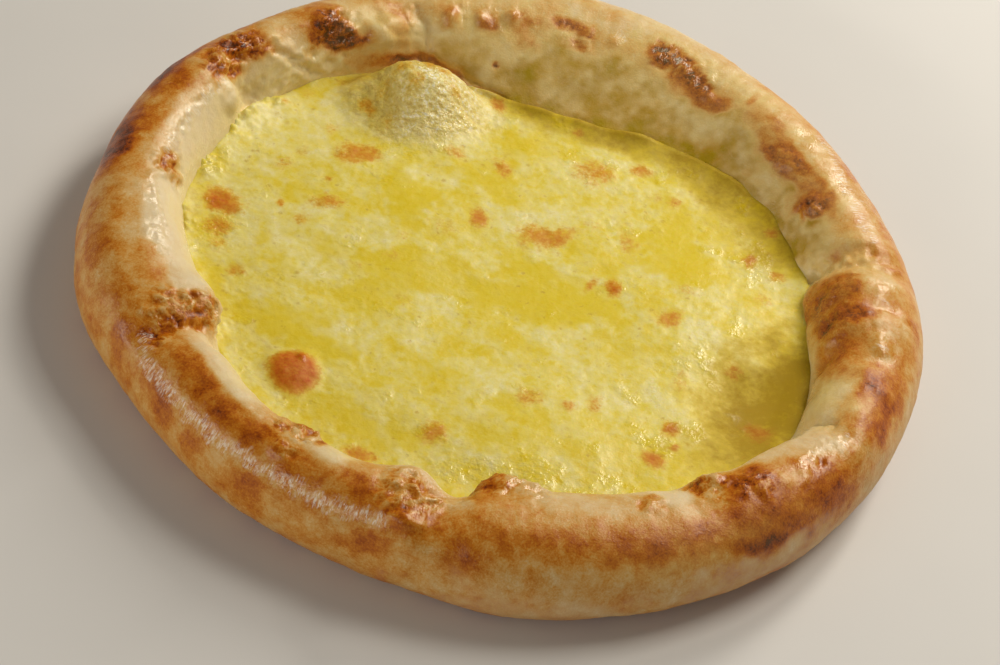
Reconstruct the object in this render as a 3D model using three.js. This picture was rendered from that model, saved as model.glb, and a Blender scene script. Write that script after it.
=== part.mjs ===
// A round cheese pide: a disc of bread dough whose edge is rolled up into a thick, uneven rim, with a pool
// of melted cheese baked in the well inside it. The bread is one solid and the cheese is another, which
// fills the well and touches the bread all round.
//
// Millimetres, +Z up. The origin is at the middle of the flat underside. Azimuths are in degrees, with 0
// along +X and 90 along +Y.

import * as THREE from "three";

// ---------------------------------------------------------------- driving dimensions

const BASE_THICKNESS = 5; // bread under the cheese
const RIM_HEIGHT = 33; // crest of the rim, before a rib's own rise
const BELLY_SHARE = 0.42; // the rim is widest at this share of its height
const CREST_INSET = 18; // the crest lies this far inside the belly, or halfway over a narrower rim
const WELL_FILLET = 3; // the well's wall curves in by this much between the cheese line and the floor
const CONTACT_GAP = 0.35; // clearance between the bread and the cheese, which touch in the real thing
const CHEESE_LEVEL = 14.5; // mean height of the cheese away from the rim

const COLUMNS = 144; // azimuth steps round every surface

// ---------------------------------------------------------------- the rim's ribs

// Sections through the rim, one every 20 degrees from azimuth 0. For each: the radius of the belly, how far
// the rim curls in from there to where it touches the table, the radius and height of the cheese line, the
// crest's rise above RIM_HEIGHT, and the slump of the inner wall, from 1 for a round upright wall to 4 for
// a long slope that runs out into the cheese.
const RIBS = [
  { outer: 137, tuck: 10, line: 98, lineZ: 15, rise: 1, slump: 1.1 },
  { outer: 134.5, tuck: 10, line: 98, lineZ: 15, rise: -1, slump: 1.6 },
  { outer: 134.5, tuck: 10, line: 96, lineZ: 15, rise: -1, slump: 2.4 },
  { outer: 137.5, tuck: 10, line: 89, lineZ: 15, rise: -1, slump: 3.2 },
  { outer: 140, tuck: 10, line: 81, lineZ: 15, rise: 0, slump: 3.6 },
  { outer: 140.5, tuck: 10, line: 86, lineZ: 14, rise: 0, slump: 3 },
  { outer: 135.5, tuck: 10, line: 103, lineZ: 13, rise: 0, slump: 1 },
  { outer: 134.5, tuck: 10, line: 107, lineZ: 15, rise: 0.5, slump: 1.2 },
  { outer: 138, tuck: 10, line: 106, lineZ: 16, rise: 1, slump: 1.6 },
  { outer: 137, tuck: 10, line: 106, lineZ: 15, rise: 0, slump: 1.5 },
  { outer: 138.5, tuck: 10, line: 100, lineZ: 15, rise: 0, slump: 1.2 },
  { outer: 133.5, tuck: 11, line: 102, lineZ: 15, rise: -1, slump: 1.2 },
  { outer: 133.5, tuck: 11, line: 107, lineZ: 15, rise: -1, slump: 1 },
  { outer: 133.5, tuck: 12, line: 104, lineZ: 15, rise: 0, slump: 1 },
  { outer: 137.5, tuck: 12, line: 99, lineZ: 15, rise: 0, slump: 1 },
  { outer: 139, tuck: 19, line: 102, lineZ: 15, rise: 0, slump: 1 },
  { outer: 138.5, tuck: 17, line: 107, lineZ: 15, rise: 1, slump: 1.1 },
  { outer: 136.5, tuck: 11, line: 106, lineZ: 15, rise: 0, slump: 1.2 },
];

// ---------------------------------------------------------------- relief on the rim

// "along" runs over the rim's section: 0 at the table, BELLY_ALONG at the belly, CREST_ALONG at the crest
// and 1 at the cheese line. Creases are grooves across the rim where the roll was folded over or pinched
// shut; they lean by "lean" degrees of azimuth between the table and the cheese line.
const BELLY_ALONG = 0.25;
const CREST_ALONG = 0.55;

const CREASES = [
  { azimuth: 12, lean: 8, width: 3, depth: 3.5, from: 0.48, to: 1 },
  { azimuth: 2, lean: 5, width: 2, depth: 1.2, from: 0.5, to: 0.9 },
  { azimuth: 351, lean: -2, width: 3, depth: 2, from: 0.5, to: 0.95 },
  { azimuth: 332, lean: 4, width: 3.5, depth: 3, from: 0.55, to: 1 },
  { azimuth: 306, lean: 3, width: 4, depth: 1.5, from: 0.5, to: 0.95 },
  { azimuth: 268, lean: 6, width: 3.5, depth: 4.5, from: 0.5, to: 1 },
  { azimuth: 217, lean: 6, width: 3.5, depth: 3.5, from: 0.48, to: 0.95 },
  { azimuth: 150, lean: 4, width: 4, depth: 4, from: 0.6, to: 1 },
  { azimuth: 117, lean: 3, width: 3.5, depth: 3, from: 0.6, to: 1 },
];

// Lumps are blisters and knobs of dough: centre, size across in millimetres and height above the roll.
const LUMPS = [
  { azimuth: 4, along: 0.66, size: 20, height: 2.5 },
  { azimuth: 336, along: 0.45, size: 24, height: 1.5 },
  { azimuth: 321, along: 0.75, size: 20, height: 2 },
  { azimuth: 310, along: 0.78, size: 14, height: 2.5 },
  { azimuth: 277, along: 0.86, size: 16, height: 4.5 },
  { azimuth: 262, along: 0.78, size: 16, height: 3 },
  { azimuth: 264, along: 0.42, size: 12, height: 2.5 },
  { azimuth: 244, along: 0.82, size: 12, height: 3 },
  { azimuth: 209, along: 0.84, size: 22, height: 4.5 },
  { azimuth: 157, along: 0.55, size: 22, height: 1.5 },
  { azimuth: 123, along: 0.78, size: 14, height: 4 },
  { azimuth: 133, along: 0.62, size: 20, height: 2 },
];

// ---------------------------------------------------------------- the cheese

// Swellings of the cheese: a curd that stands up in a mound, blisters, and the low places between them.
const CHEESE_SWELLS = [
  { x: -40, y: 81, across: 32, height: 10.5 },
  { x: -56, y: 73, across: 24, height: 4.5 },
  { x: -38, y: 66, across: 26, height: 4 },
  { x: -59, y: -63, across: 16, height: 2.5 },
  { x: 60, y: 0, across: 50, height: 1.5 },
  { x: 20, y: -70, across: 45, height: 1.2 },
  { x: -50, y: 20, across: 60, height: 1.2 },
  { x: 86, y: -34, across: 34, height: -3 },
  { x: 0, y: -10, across: 50, height: -1 },
];

// From this share of the way out the cheese runs to the cheese line. Behind the mound it does so later.
const JOIN_FROM = 0.88;
const JOIN_BEHIND_MOUND = 0.955;
const MOUND_AZIMUTH = 117;
const MOUND_SPREAD = 20;

// Rings of the cheese's top, as shares of the way from its middle to the cheese line.
const CHEESE_RINGS = [0.97, 0.92, 0.86, 0.79, 0.71, 0.62, 0.5, 0.35, 0.18];

// ---------------------------------------------------------------- helpers

const radians = THREE.MathUtils.degToRad;

// Signed difference between two azimuths, from -180 to 180.
function azimuthBetween(a, b) {
  return THREE.MathUtils.euclideanModulo(a - b + 180, 360) - 180;
}

// A bell that is 1 at 0 and has faded out at about 2.
function bell(x) {
  return Math.exp(-x * x);
}

// The value of one of the ribs' measures at any azimuth, on a closed Catmull-Rom spline through the ribs.
function ribValue(key, azimuth) {
  const place = (THREE.MathUtils.euclideanModulo(azimuth, 360) / 360) * RIBS.length;
  const index = Math.floor(place);
  const t = place - index;
  const [a, b, c, d] = [-1, 0, 1, 2].map(
    (step) => RIBS[(index + step + RIBS.length) % RIBS.length][key],
  );
  const bend = 2 * a - 5 * b + 4 * c - d + (3 * (b - c) + d - a) * t;
  return b + 0.5 * t * (c - a + t * bend);
}

// ---------------------------------------------------------------- the rim's section

// The plain section at an azimuth: where it touches the table, its belly, its crest and its cheese line.
function sectionAt(azimuth) {
  const outer = ribValue("outer", azimuth);
  const line = ribValue("line", azimuth);
  const crestZ = RIM_HEIGHT + ribValue("rise", azimuth);
  return {
    contact: outer - ribValue("tuck", azimuth),
    outer,
    bellyZ: crestZ * BELLY_SHARE,
    crest: outer - Math.min(CREST_INSET, (outer - line) / 2),
    crestZ,
    line,
    lineZ: ribValue("lineZ", azimuth),
    slump: ribValue("slump", azimuth),
  };
}

// The plain section's radius and height at a place along it. The outside is two quarter ellipses, and the
// inner wall falls as (1 - u^2)^(slump / 2), with u from 0 at the crest to 1 at the cheese line.
function plainPoint(section, along) {
  const { contact, outer, bellyZ, crest, crestZ, line, lineZ, slump } = section;
  if (along <= BELLY_ALONG) {
    const turn = (along / BELLY_ALONG) * (Math.PI / 2);
    return [contact + (outer - contact) * Math.sin(turn), bellyZ * (1 - Math.cos(turn))];
  }
  if (along <= CREST_ALONG) {
    const turn = ((along - BELLY_ALONG) / (CREST_ALONG - BELLY_ALONG)) * (Math.PI / 2);
    return [crest + (outer - crest) * Math.cos(turn), bellyZ + (crestZ - bellyZ) * Math.sin(turn)];
  }
  const turn = ((along - CREST_ALONG) / (1 - CREST_ALONG)) * (Math.PI / 2);
  const u = Math.sin(turn);
  return [crest - (crest - line) * u, lineZ + (crestZ - lineZ) * Math.cos(turn) ** slump];
}

// How far the surface stands out from the plain section, from its creases and lumps.
function reliefAt(azimuth, along, radius) {
  // Relief fades out at the table and at the cheese line, where the rim meets flat things.
  const fade = THREE.MathUtils.smoothstep(along, 0, 0.2) * (1 - THREE.MathUtils.smoothstep(along, 0.9, 1));
  let relief = 0;
  for (const { azimuth: at, lean, width, depth, from, to } of CREASES) {
    const aside = azimuthBetween(azimuth, at + lean * (along - CREST_ALONG));
    const reach = THREE.MathUtils.smoothstep(along, from - 0.15, from + 0.05);
    const end = 1 - THREE.MathUtils.smoothstep(along, to - 0.1, to + 0.1);
    relief -= depth * bell(aside / width) * reach * end;
  }
  const sectionLength = 95; // from the table over the crest to the cheese line
  for (const { azimuth: at, along: place, size, height } of LUMPS) {
    const aside = radians(azimuthBetween(azimuth, at)) * radius;
    const across = (along - place) * sectionLength;
    relief += height * bell(Math.hypot(aside, across) / (size * 0.5));
  }
  return relief * fade;
}

// The rim's real surface: the plain section with its relief added square to it.
function rimPoint(azimuth, along) {
  const section = sectionAt(azimuth);
  const [radius, z] = plainPoint(section, along);
  const step = 0.01;
  const [r0, z0] = plainPoint(section, Math.max(0, along - step));
  const [r1, z1] = plainPoint(section, Math.min(1, along + step));
  const length = Math.hypot(r1 - r0, z1 - z0) || 1;
  const relief = reliefAt(azimuth, along, radius);
  return [radius + (relief * (z1 - z0)) / length, z - (relief * (r1 - r0)) / length];
}

// The well's wall below the cheese line, from share 0 at the line to 1 at the floor.
function wellPoint(azimuth, share) {
  const { line, lineZ } = sectionAt(azimuth);
  const inward = WELL_FILLET * (1 - Math.sqrt(1 - share * share));
  return [line - inward, lineZ + (BASE_THICKNESS - lineZ) * share];
}

// ---------------------------------------------------------------- surfaces of revolution with uneven rings

// A closed solid from rings stacked between two poles. Each ring maps an azimuth to [radius, z]; the rings
// run from the bottom pole outwards, up and back in to the top pole, so the faces point out.
function solidFromRings(bottomZ, rings, topZ) {
  const positions = [0, 0, bottomZ];
  for (const ring of rings) {
    for (let column = 0; column < COLUMNS; column++) {
      const azimuth = (column / COLUMNS) * 360;
      const [radius, z] = ring(azimuth);
      positions.push(radius * Math.cos(radians(azimuth)), radius * Math.sin(radians(azimuth)), z);
    }
  }
  positions.push(0, 0, topZ);
  const vertex = (ring, column) => 1 + ring * COLUMNS + (column % COLUMNS);
  const topPole = 1 + rings.length * COLUMNS;
  const faces = [];
  for (let column = 0; column < COLUMNS; column++) {
    faces.push(0, vertex(0, column + 1), vertex(0, column));
    for (let ring = 0; ring + 1 < rings.length; ring++) {
      const [a, b] = [vertex(ring, column), vertex(ring, column + 1)];
      const [c, d] = [vertex(ring + 1, column + 1), vertex(ring + 1, column)];
      faces.push(a, b, c, a, c, d);
    }
    faces.push(vertex(rings.length - 1, column), vertex(rings.length - 1, column + 1), topPole);
  }
  const geometry = new THREE.BufferGeometry();
  geometry.setAttribute("position", new THREE.Float32BufferAttribute(positions, 3));
  geometry.setIndex(faces);
  geometry.computeVertexNormals();
  return geometry;
}

// count numbers spread evenly from first to last, with both ends.
function spread(first, last, count) {
  return Array.from({ length: count }, (_, i) => first + ((last - first) * i) / (count - 1));
}

// ---------------------------------------------------------------- bread

function breadGeometry() {
  const alongs = [
    ...spread(0, BELLY_ALONG, 4),
    ...spread(BELLY_ALONG, CREST_ALONG, 6).slice(1),
    ...spread(CREST_ALONG, 1, 8).slice(1),
  ];
  const underside = (azimuth) => [rimPoint(azimuth, 0)[0] / 2, 0];
  const rim = alongs.map((along) => (azimuth) => rimPoint(azimuth, along));
  const well = [0.6, 1].map((share) => (azimuth) => wellPoint(azimuth, share));
  const floor = (azimuth) => [wellPoint(azimuth, 1)[0] / 2, BASE_THICKNESS];
  return solidFromRings(0, [underside, ...rim, ...well, floor], BASE_THICKNESS);
}

// ---------------------------------------------------------------- cheese

// The cheese's height at a point, away from where it climbs to the cheese line.
function cheeseHeight(x, y) {
  let z = CHEESE_LEVEL;
  for (const swell of CHEESE_SWELLS) {
    const away = Math.hypot(x - swell.x, y - swell.y) / (swell.across / 2);
    z += swell.height * bell(away ** 1.5);
  }
  return z;
}

// A point of the cheese's top, at a share of the way out from its middle. It joins the cheese line at 1.
function cheesePoint(azimuth, share) {
  const [line, lineZ] = wellPoint(azimuth, 0);
  const radius = (line - CONTACT_GAP) * share;
  const free = cheeseHeight(radius * Math.cos(radians(azimuth)), radius * Math.sin(radians(azimuth)));
  const behindMound = bell(azimuthBetween(azimuth, MOUND_AZIMUTH) / MOUND_SPREAD);
  const joinFrom = THREE.MathUtils.lerp(JOIN_FROM, JOIN_BEHIND_MOUND, behindMound);
  const join = THREE.MathUtils.smoothstep(share, joinFrom, 1);
  return [radius, THREE.MathUtils.lerp(free, lineZ, join)];
}

function cheeseGeometry() {
  const bottomZ = BASE_THICKNESS + CONTACT_GAP;
  const side = [1, 0.6, 0].map((share) => (azimuth) => {
    const [radius, z] = wellPoint(azimuth, share);
    return [radius - CONTACT_GAP, Math.max(z, bottomZ)];
  });
  const bottom = (azimuth) => [side[0](azimuth)[0] / 2, bottomZ];
  const top = CHEESE_RINGS.map((share) => (azimuth) => cheesePoint(azimuth, share));
  return solidFromRings(bottomZ, [bottom, ...side, ...top], cheeseHeight(0, 0));
}

// ---------------------------------------------------------------- the pide

const crustFinish = new THREE.MeshStandardMaterial({ color: 0xc98a45, roughness: 0.45, metalness: 0 });
const cheeseFinish = new THREE.MeshStandardMaterial({ color: 0xdac45f, roughness: 0.35, metalness: 0 });

function namedMesh(name, geometry, material) {
  const mesh = new THREE.Mesh(geometry, material);
  mesh.name = name;
  return mesh;
}

const pide = new THREE.Group();
pide.name = "cheese_pide";
pide.add(namedMesh("bread", breadGeometry(), crustFinish));
pide.add(namedMesh("cheese", cheeseGeometry(), cheeseFinish));

export default pide;
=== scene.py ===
# %% [markdown]
# # A round cheese pide
#
# A pide is a flat bread from the stone oven. This one is round: the dough's edge is rolled up into a thick,
# uneven rim, and the well inside is filled with cheese that melts, browns in spots and is brushed with
# butter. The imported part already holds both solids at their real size, the bread and the cheese. What is
# made here is how they look: a skin with blisters, folds and burnt patches, and a top of moist, curdy cheese.

import bpy
import numpy as np
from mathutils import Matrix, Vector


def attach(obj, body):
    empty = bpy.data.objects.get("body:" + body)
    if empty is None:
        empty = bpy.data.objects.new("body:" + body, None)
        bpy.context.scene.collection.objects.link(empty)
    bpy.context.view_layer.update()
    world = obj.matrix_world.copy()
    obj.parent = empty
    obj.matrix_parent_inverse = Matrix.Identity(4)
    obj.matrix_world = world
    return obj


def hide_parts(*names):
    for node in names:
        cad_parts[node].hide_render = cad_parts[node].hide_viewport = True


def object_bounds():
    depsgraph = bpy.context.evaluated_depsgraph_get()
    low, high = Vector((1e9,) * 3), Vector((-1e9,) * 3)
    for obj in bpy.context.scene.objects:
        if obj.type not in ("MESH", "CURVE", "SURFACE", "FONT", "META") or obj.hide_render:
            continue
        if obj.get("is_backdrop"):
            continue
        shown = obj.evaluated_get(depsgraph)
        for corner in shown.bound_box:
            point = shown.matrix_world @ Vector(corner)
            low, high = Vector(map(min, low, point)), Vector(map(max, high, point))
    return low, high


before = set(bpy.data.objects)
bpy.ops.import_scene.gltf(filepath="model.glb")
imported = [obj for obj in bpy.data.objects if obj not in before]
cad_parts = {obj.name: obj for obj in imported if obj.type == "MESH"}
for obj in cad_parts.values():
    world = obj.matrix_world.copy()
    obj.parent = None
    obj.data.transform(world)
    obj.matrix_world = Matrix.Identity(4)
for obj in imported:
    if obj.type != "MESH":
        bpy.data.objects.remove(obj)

cad_low, cad_high = (np.array(corner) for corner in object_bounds())
print("packed part, mm:", np.round((cad_high - cad_low) * 1000, 1))

# %% [markdown]
# ## Camera, floor and light
#
# The pide is seen from the front at 44 degrees above the table, with the camera rolled a little, through a
# long lens. Two soft windows stand behind it on the right: they rake over the rim, make the buttered
# shoulders glisten and leave the far inner wall in shade. Two long, low windows at the left and the front
# left light the near side and glint on its shoulder. All are area lights, because a point would give hard
# shadows that food is never shown in.

# %% Camera
MM = 0.001

VIEW_ELEVATION = np.radians(44.04)
VIEW_ROLL = np.radians(12.27)
VIEW_DISTANCE = 909.9 * MM
VIEW_TARGET = np.array([1.7, -34.6, 22.0]) * MM


def look_matrix(place, target, roll=0.0):
    """A 4x4 matrix at place whose -Z points at target and whose Y is up, turned by roll about the view."""
    from mathutils import Matrix, Vector

    turn = Vector(target - place).to_track_quat("-Z", "Y").to_matrix().to_4x4()
    return Matrix.Translation(Vector(place)) @ turn @ Matrix.Rotation(roll, 4, "Z")


def direction(azimuth, elevation):
    """The unit vector towards an azimuth (0 along +X, 90 along +Y) and an elevation, both in degrees."""
    a, e = np.radians(azimuth), np.radians(elevation)
    return np.array([np.cos(a) * np.cos(e), np.sin(a) * np.cos(e), np.sin(e)])


camera_data = bpy.data.cameras.new("camera")
camera_data.sensor_width = 36
camera_data.lens = 105
camera = bpy.data.objects.new("camera", camera_data)
bpy.context.scene.collection.objects.link(camera)
camera.matrix_world = look_matrix(
    VIEW_TARGET + VIEW_DISTANCE * direction(270, np.degrees(VIEW_ELEVATION)), VIEW_TARGET, VIEW_ROLL
)
bpy.context.scene.camera = camera
print("camera at, mm:", np.round(np.array(camera.location) * 1000))

# %% Lights and floor
scene = bpy.context.scene
scene.view_settings.view_transform = "Standard"

# Name, azimuth, elevation, width and height in metres, power in watts, colour.
WINDOWS = [
    ("tall window", 62, 34, 0.22, 0.6, 8.8, (1.0, 0.95, 0.87)),
    ("wide window", 32, 52, 0.5, 0.4, 8, (1.0, 0.96, 0.88)),
    ("left window", 197, 10, 0.8, 0.1, 3.2, (1.0, 0.97, 0.92)),
    ("front window", 236, 20, 0.8, 0.1, 3.0, (1.0, 0.97, 0.92)),
]
WINDOW_DISTANCE = 1.3
PIDE_MIDDLE = np.array([0, 0, 0.015])

for name, window_azimuth, window_elevation, width, height, power, colour in WINDOWS:
    window = bpy.data.lights.new(name, "AREA")
    window.shape = "RECTANGLE"
    window.size, window.size_y = width, height
    window.energy = power
    window.color = colour
    lamp = bpy.data.objects.new(name, window)
    scene.collection.objects.link(lamp)
    place = PIDE_MIDDLE + WINDOW_DISTANCE * direction(window_azimuth, window_elevation)
    lamp.matrix_world = look_matrix(place, PIDE_MIDDLE)

world = bpy.data.worlds.new("studio")
world.use_nodes = True
world.node_tree.nodes["Background"].inputs["Color"].default_value = (1.0, 0.95, 0.88, 1)
world.node_tree.nodes["Background"].inputs["Strength"].default_value = 0.14
scene.world = world

FLOOR_HALF, FLOOR_LEVEL = 3.0, -0.0001
corner_signs = ((-1, -1), (1, -1), (1, 1), (-1, 1))
floor_corners = [(x * FLOOR_HALF, y * FLOOR_HALF, FLOOR_LEVEL) for x, y in corner_signs]
floor_mesh = bpy.data.meshes.new("floor")
floor_mesh.from_pydata(floor_corners, [], [(0, 1, 2, 3)])
floor = bpy.data.objects.new("floor", floor_mesh)
scene.collection.objects.link(floor)
floor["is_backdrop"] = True

# %% [markdown]
# ## Reading the broad shapes back
#
# The bread and the cheese are each a stack of uneven rings between two poles, with the same number of
# columns in every ring. Their vertices come back as loose triangles in no order, so they are merged, sorted
# by azimuth and then by the angle round a point inside the rim. That gives a grid of sections, and a smooth
# spline through the grid gives as many points as the looks need. The alternative, subdividing the triangles,
# would keep their facets and give no clean coordinates to place a blister or a burnt patch by.

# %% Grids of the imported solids
CAD_COLUMNS = 144


def merged_points(node):
    """The node's vertices in mm with copies merged: rounded to a thousandth of a mm and made unique."""
    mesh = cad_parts[node].data
    points = np.empty(len(mesh.vertices) * 3)
    mesh.vertices.foreach_get("co", points)
    return np.unique(np.round(points.reshape(-1, 3) / MM, 3), axis=0)


def in_columns(points, key):
    """Points as [column, ring, xyz], without the two poles: a point's column is its azimuth over the
    column step, and the points of a column are put in order by a key."""
    turn = np.degrees(np.arctan2(points[:, 1], points[:, 0])) / 360 * CAD_COLUMNS
    column = np.round(turn).astype(int) % CAD_COLUMNS
    order = np.lexsort((key, column))
    return points[order].reshape(CAD_COLUMNS, -1, 3)


def radius_of(points):
    """How far points are from the upright axis through the middle of the pide."""
    return np.hypot(points[..., 0], points[..., 1])


# The bread's rings go round a hub inside its section, so their angle about it puts them in order.
HUB_RADIUS, HUB_HEIGHT = 118, 2.5
POLE_RADIUS = 1
bread_points = merged_points("bread")
bread_points = bread_points[radius_of(bread_points) > POLE_RADIUS]
angle = np.arctan2(bread_points[:, 2] - HUB_HEIGHT, radius_of(bread_points) - HUB_RADIUS)
bread_grid = in_columns(bread_points, angle)

# Only the cheese's top is used: the points well above its bottom, from the wall inwards.
CHEESE_TOP_ABOVE = 10
cheese_points = merged_points("cheese")
cheese_middle = cheese_points[radius_of(cheese_points) < POLE_RADIUS][:, 2].max()
is_top = (radius_of(cheese_points) > POLE_RADIUS) & (cheese_points[:, 2] > CHEESE_TOP_ABOVE)
cheese_grid = in_columns(cheese_points[is_top], -radius_of(cheese_points[is_top]))
print("bread grid:", bread_grid.shape, " cheese grid:", cheese_grid.shape)

# %% Splines through a grid


def between(a, b, c, d, t):
    """The Catmull-Rom curve from b (t = 0) to c (t = 1), with a before them and d after them:
    b + t/2 * ((c - a) + t * ((2a - 5b + 4c - d) + t * (3(b - c) + d - a)))."""
    return b + t / 2 * ((c - a) + t * ((2 * a - 5 * b + 4 * c - d) + t * (3 * (b - c) + d - a)))


def spline(samples, places, closed=False):
    """Catmull-Rom curves through samples (along axis 0) at places given in sample numbers. An open
    curve goes on straight past its ends, and a closed one comes round again."""
    count = len(samples)
    index = np.floor(places).astype(int)
    if not closed:
        index = np.clip(index, 0, count - 2)
        first, last = 2 * samples[0] - samples[1], 2 * samples[-1] - samples[-2]
        samples = np.concatenate([first[None], samples, last[None]])
        a, b, c, d = (samples[index + step] for step in range(4))
    else:
        a, b, c, d = (samples[(index + step) % count] for step in (-1, 0, 1, 2))
    return between(a, b, c, d, (places - index).reshape((-1,) + (1,) * (samples.ndim - 1)))


def unit(vectors):
    """Vectors scaled to length 1."""
    return vectors / np.maximum(np.linalg.norm(vectors, axis=-1, keepdims=True), 1e-12)


# %% [markdown]
# ## Noise
#
# Dough and cheese are uneven at every size. Gradient noise gives that: random slopes on a lattice, blended
# smoothly between its corners. It is worked out here for the points of the meshes, in mm, so that real
# relief and the masks that colour it come from the same numbers. Everything is seeded, so each run is alike.

# %% Gradient noise on points
LATTICE = 32
SHIFT_PER_SEED = 0.37
NOISE_GAIN = 1.6


def noise(points, size, seed):
    """Gradient noise at points (n, 3), in mm, with cells of a size in mm: about -1 to 1, mean 0.

    Each of a cell's 8 corners has a random slope; its dot product with the way from the corner is
    blended with the fade 6t^5 - 15t^4 + 10t^3 along each axis.
    """
    slopes = unit(np.random.default_rng(seed).normal(size=(LATTICE, LATTICE, LATTICE, 3)))
    place = points / size + SHIFT_PER_SEED * seed
    cell = np.floor(place).astype(int)
    t = place - cell
    fade = t * t * t * (t * (6 * t - 15) + 10)
    total = np.zeros(len(points))
    for corner in np.ndindex(2, 2, 2):
        corner = np.array(corner)
        x, y, z = ((cell + corner) % LATTICE).T
        weight = np.prod(np.where(corner == 1, fade, 1 - fade), axis=1)
        total += weight * np.sum(slopes[x, y, z] * (t - corner), axis=1)
    return total * NOISE_GAIN


def rough(points, size, octaves, seed):
    """Noise summed over octaves, each half the size and half the strength of the one before."""
    return sum(noise(points, size / 2**k, seed + k) / 2**k for k in range(octaves))


def ramp(values, start, end):
    """0 below start, 1 above end and the smooth step 3t^2 - 2t^3 between them."""
    t = np.clip((values - start) / (end - start), 0, 1)
    return t * t * (3 - 2 * t)


sample = noise(np.random.default_rng(1).random((5000, 3)) * 90, 7, 3)
print("noise, least and most:", sample.min().round(2), sample.max().round(2))

# %% [markdown]
# ## The bread's skin
#
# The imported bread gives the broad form: 144 sections of 20 points each. The skin keeps the same layout, with
# every point named by its azimuth and by how far along the section it lies: 0 where the rim leaves the
# table, 0.25 at the belly, 0.55 at the crest and 1 where the cheese begins. A spline in both directions
# fills in a point for about every millimetre. Each blister, fold and burnt patch below is then placed by the
# same two numbers, the way a baker would point at it.

# %% A fine grid on the bread
BREAD_COLUMNS = 900
RIM_ROWS = 93
BELLY_ALONG, CREST_ALONG = 0.25, 0.55
table_to_belly = np.linspace(0, BELLY_ALONG, 4)
belly_to_crest = np.linspace(BELLY_ALONG, CREST_ALONG, 6)
crest_to_cheese = np.linspace(CREST_ALONG, 1, 8)
CAD_ALONG = np.concatenate([table_to_belly, belly_to_crest[1:], crest_to_cheese[1:]])

azimuth = np.arange(BREAD_COLUMNS) * 360 / BREAD_COLUMNS
fine_sections = spline(bread_grid, azimuth / 360 * CAD_COLUMNS, closed=True)
rim_sections = fine_sections[:, 1 : 1 + len(CAD_ALONG)]

section_share = np.linspace(0, 1, RIM_ROWS)
row_along = np.interp(section_share, (0, 0.2, 0.52, 1), (0, BELLY_ALONG, CREST_ALONG, 1))
ring_place = np.interp(row_along, CAD_ALONG, np.arange(len(CAD_ALONG)))
rim = spline(rim_sections.transpose(1, 0, 2), ring_place).transpose(1, 0, 2)

AZ, ALONG = np.meshgrid(azimuth, row_along, indexing="ij")
step = np.linalg.norm(np.diff(rim, axis=1), axis=2)
ARC = np.concatenate([np.zeros((BREAD_COLUMNS, 1)), np.cumsum(step, axis=1)], axis=1)
RADIUS = radius_of(rim)
print("rim grid:", rim.shape)
print("section length, mm:", ARC[:, -1].min().round(), "to", ARC[:, -1].max().round())

# %% Square to the skin


def grid_normals(grid):
    """Unit vectors square to a grid of points that closes round its first axis: the cross product of
    the way along the second axis with the way round the first."""
    around = np.roll(grid, -1, axis=0) - np.roll(grid, 1, axis=0)
    across = np.gradient(grid, axis=1)
    return unit(np.cross(around, across))


rim_normals = grid_normals(rim)
belly_row = int(np.argmin(np.abs(row_along - BELLY_ALONG)))
outward = (rim_normals[:, belly_row] * rim[:, belly_row]).sum(axis=1)
print("normals point out of the belly:", bool(outward.min() > 0))

rim_points = rim.reshape(-1, 3)


def rim_noise(size, octaves, seed):
    """Noise on the rim's grid, with cells of a size in mm."""
    return rough(rim_points, size, octaves, seed).reshape(AZ.shape)


warp_wide = [rim_noise(11, 3, seed) for seed in (11, 12)]
warp_fine = [rim_noise(3, 1, seed) for seed in (13, 14)]

# %% [markdown]
# ## Placing marks on the skin
#
# Three kinds of mark cover all that the oven did. A patch is a soft-edged area given by its range of azimuth
# and its range along the section. A dome is a round or long swelling with a size and height in mm. A stroke
# follows a short path, for a fold or a crease. All three are bent by noise, because nothing on a loaf has an
# outline that a compass could draw.

# %% Helpers: where a place on the rim is


def turn_between(a, b):
    """Azimuth a minus azimuth b, brought to -180 to 180 degrees."""
    return (a - b + 180) % 360 - 180


def nearest_column(place_azimuth):
    """The column of the rim's grid that is nearest to an azimuth."""
    return int(round(place_azimuth / 360 * BREAD_COLUMNS)) % BREAD_COLUMNS


def arc_at(place_azimuth, place_along):
    """The arc length in mm from the table to a place on the rim."""
    return np.interp(place_along, row_along, ARC[nearest_column(place_azimuth)])


def around_from(some_azimuth, place_azimuth, place_along):
    """Millimetres around the rim from a place to an azimuth, at the place's own radius."""
    row = int(np.argmin(np.abs(row_along - place_along)))
    return np.radians(turn_between(some_azimuth, place_azimuth)) * RADIUS[nearest_column(place_azimuth), row]


def local(place_azimuth, place_along):
    """Millimetres around the rim and along its section, measured from a place."""
    level = np.array([np.interp(place_along, row_along, arc) for arc in ARC])
    return around_from(AZ, place_azimuth, place_along), ARC - level[:, None]


print("the crest is", arc_at(270, CREST_ALONG).round(), "mm up the skin at the front")

# %% Patches, domes and strokes
ALL_ROUND = 1e6  # a range so wide that its ends are never seen, for a patch from 0 to 360


def patch(az_from, az_to, along_from, along_to, bend=0.3, soft=0.5):
    """1 inside a range of azimuth and of along, 0 outside it, with a soft edge bent by noise.

    u and v run from -1 to 1 across the two ranges. The distance (|u|^3 + |v|^3)^(1/3) gives a box with
    round corners, and the edge fades out over the softness on both sides of 1.
    """
    half = ((az_to - az_from) % 360 or ALL_ROUND) / 2
    middle = (along_from + along_to) / 2
    u = turn_between(AZ, az_from + half) / half
    v = (ALONG - middle) / ((along_to - along_from) / 2)
    u = u + bend * (warp_wide[0] + 0.35 * warp_fine[0])
    v = v + bend * (warp_wide[1] + 0.35 * warp_fine[1])
    away = (np.abs(u) ** 3 + np.abs(v) ** 3) ** (1 / 3)
    return 1 - ramp(away, 1 - soft, 1 + soft)


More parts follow.
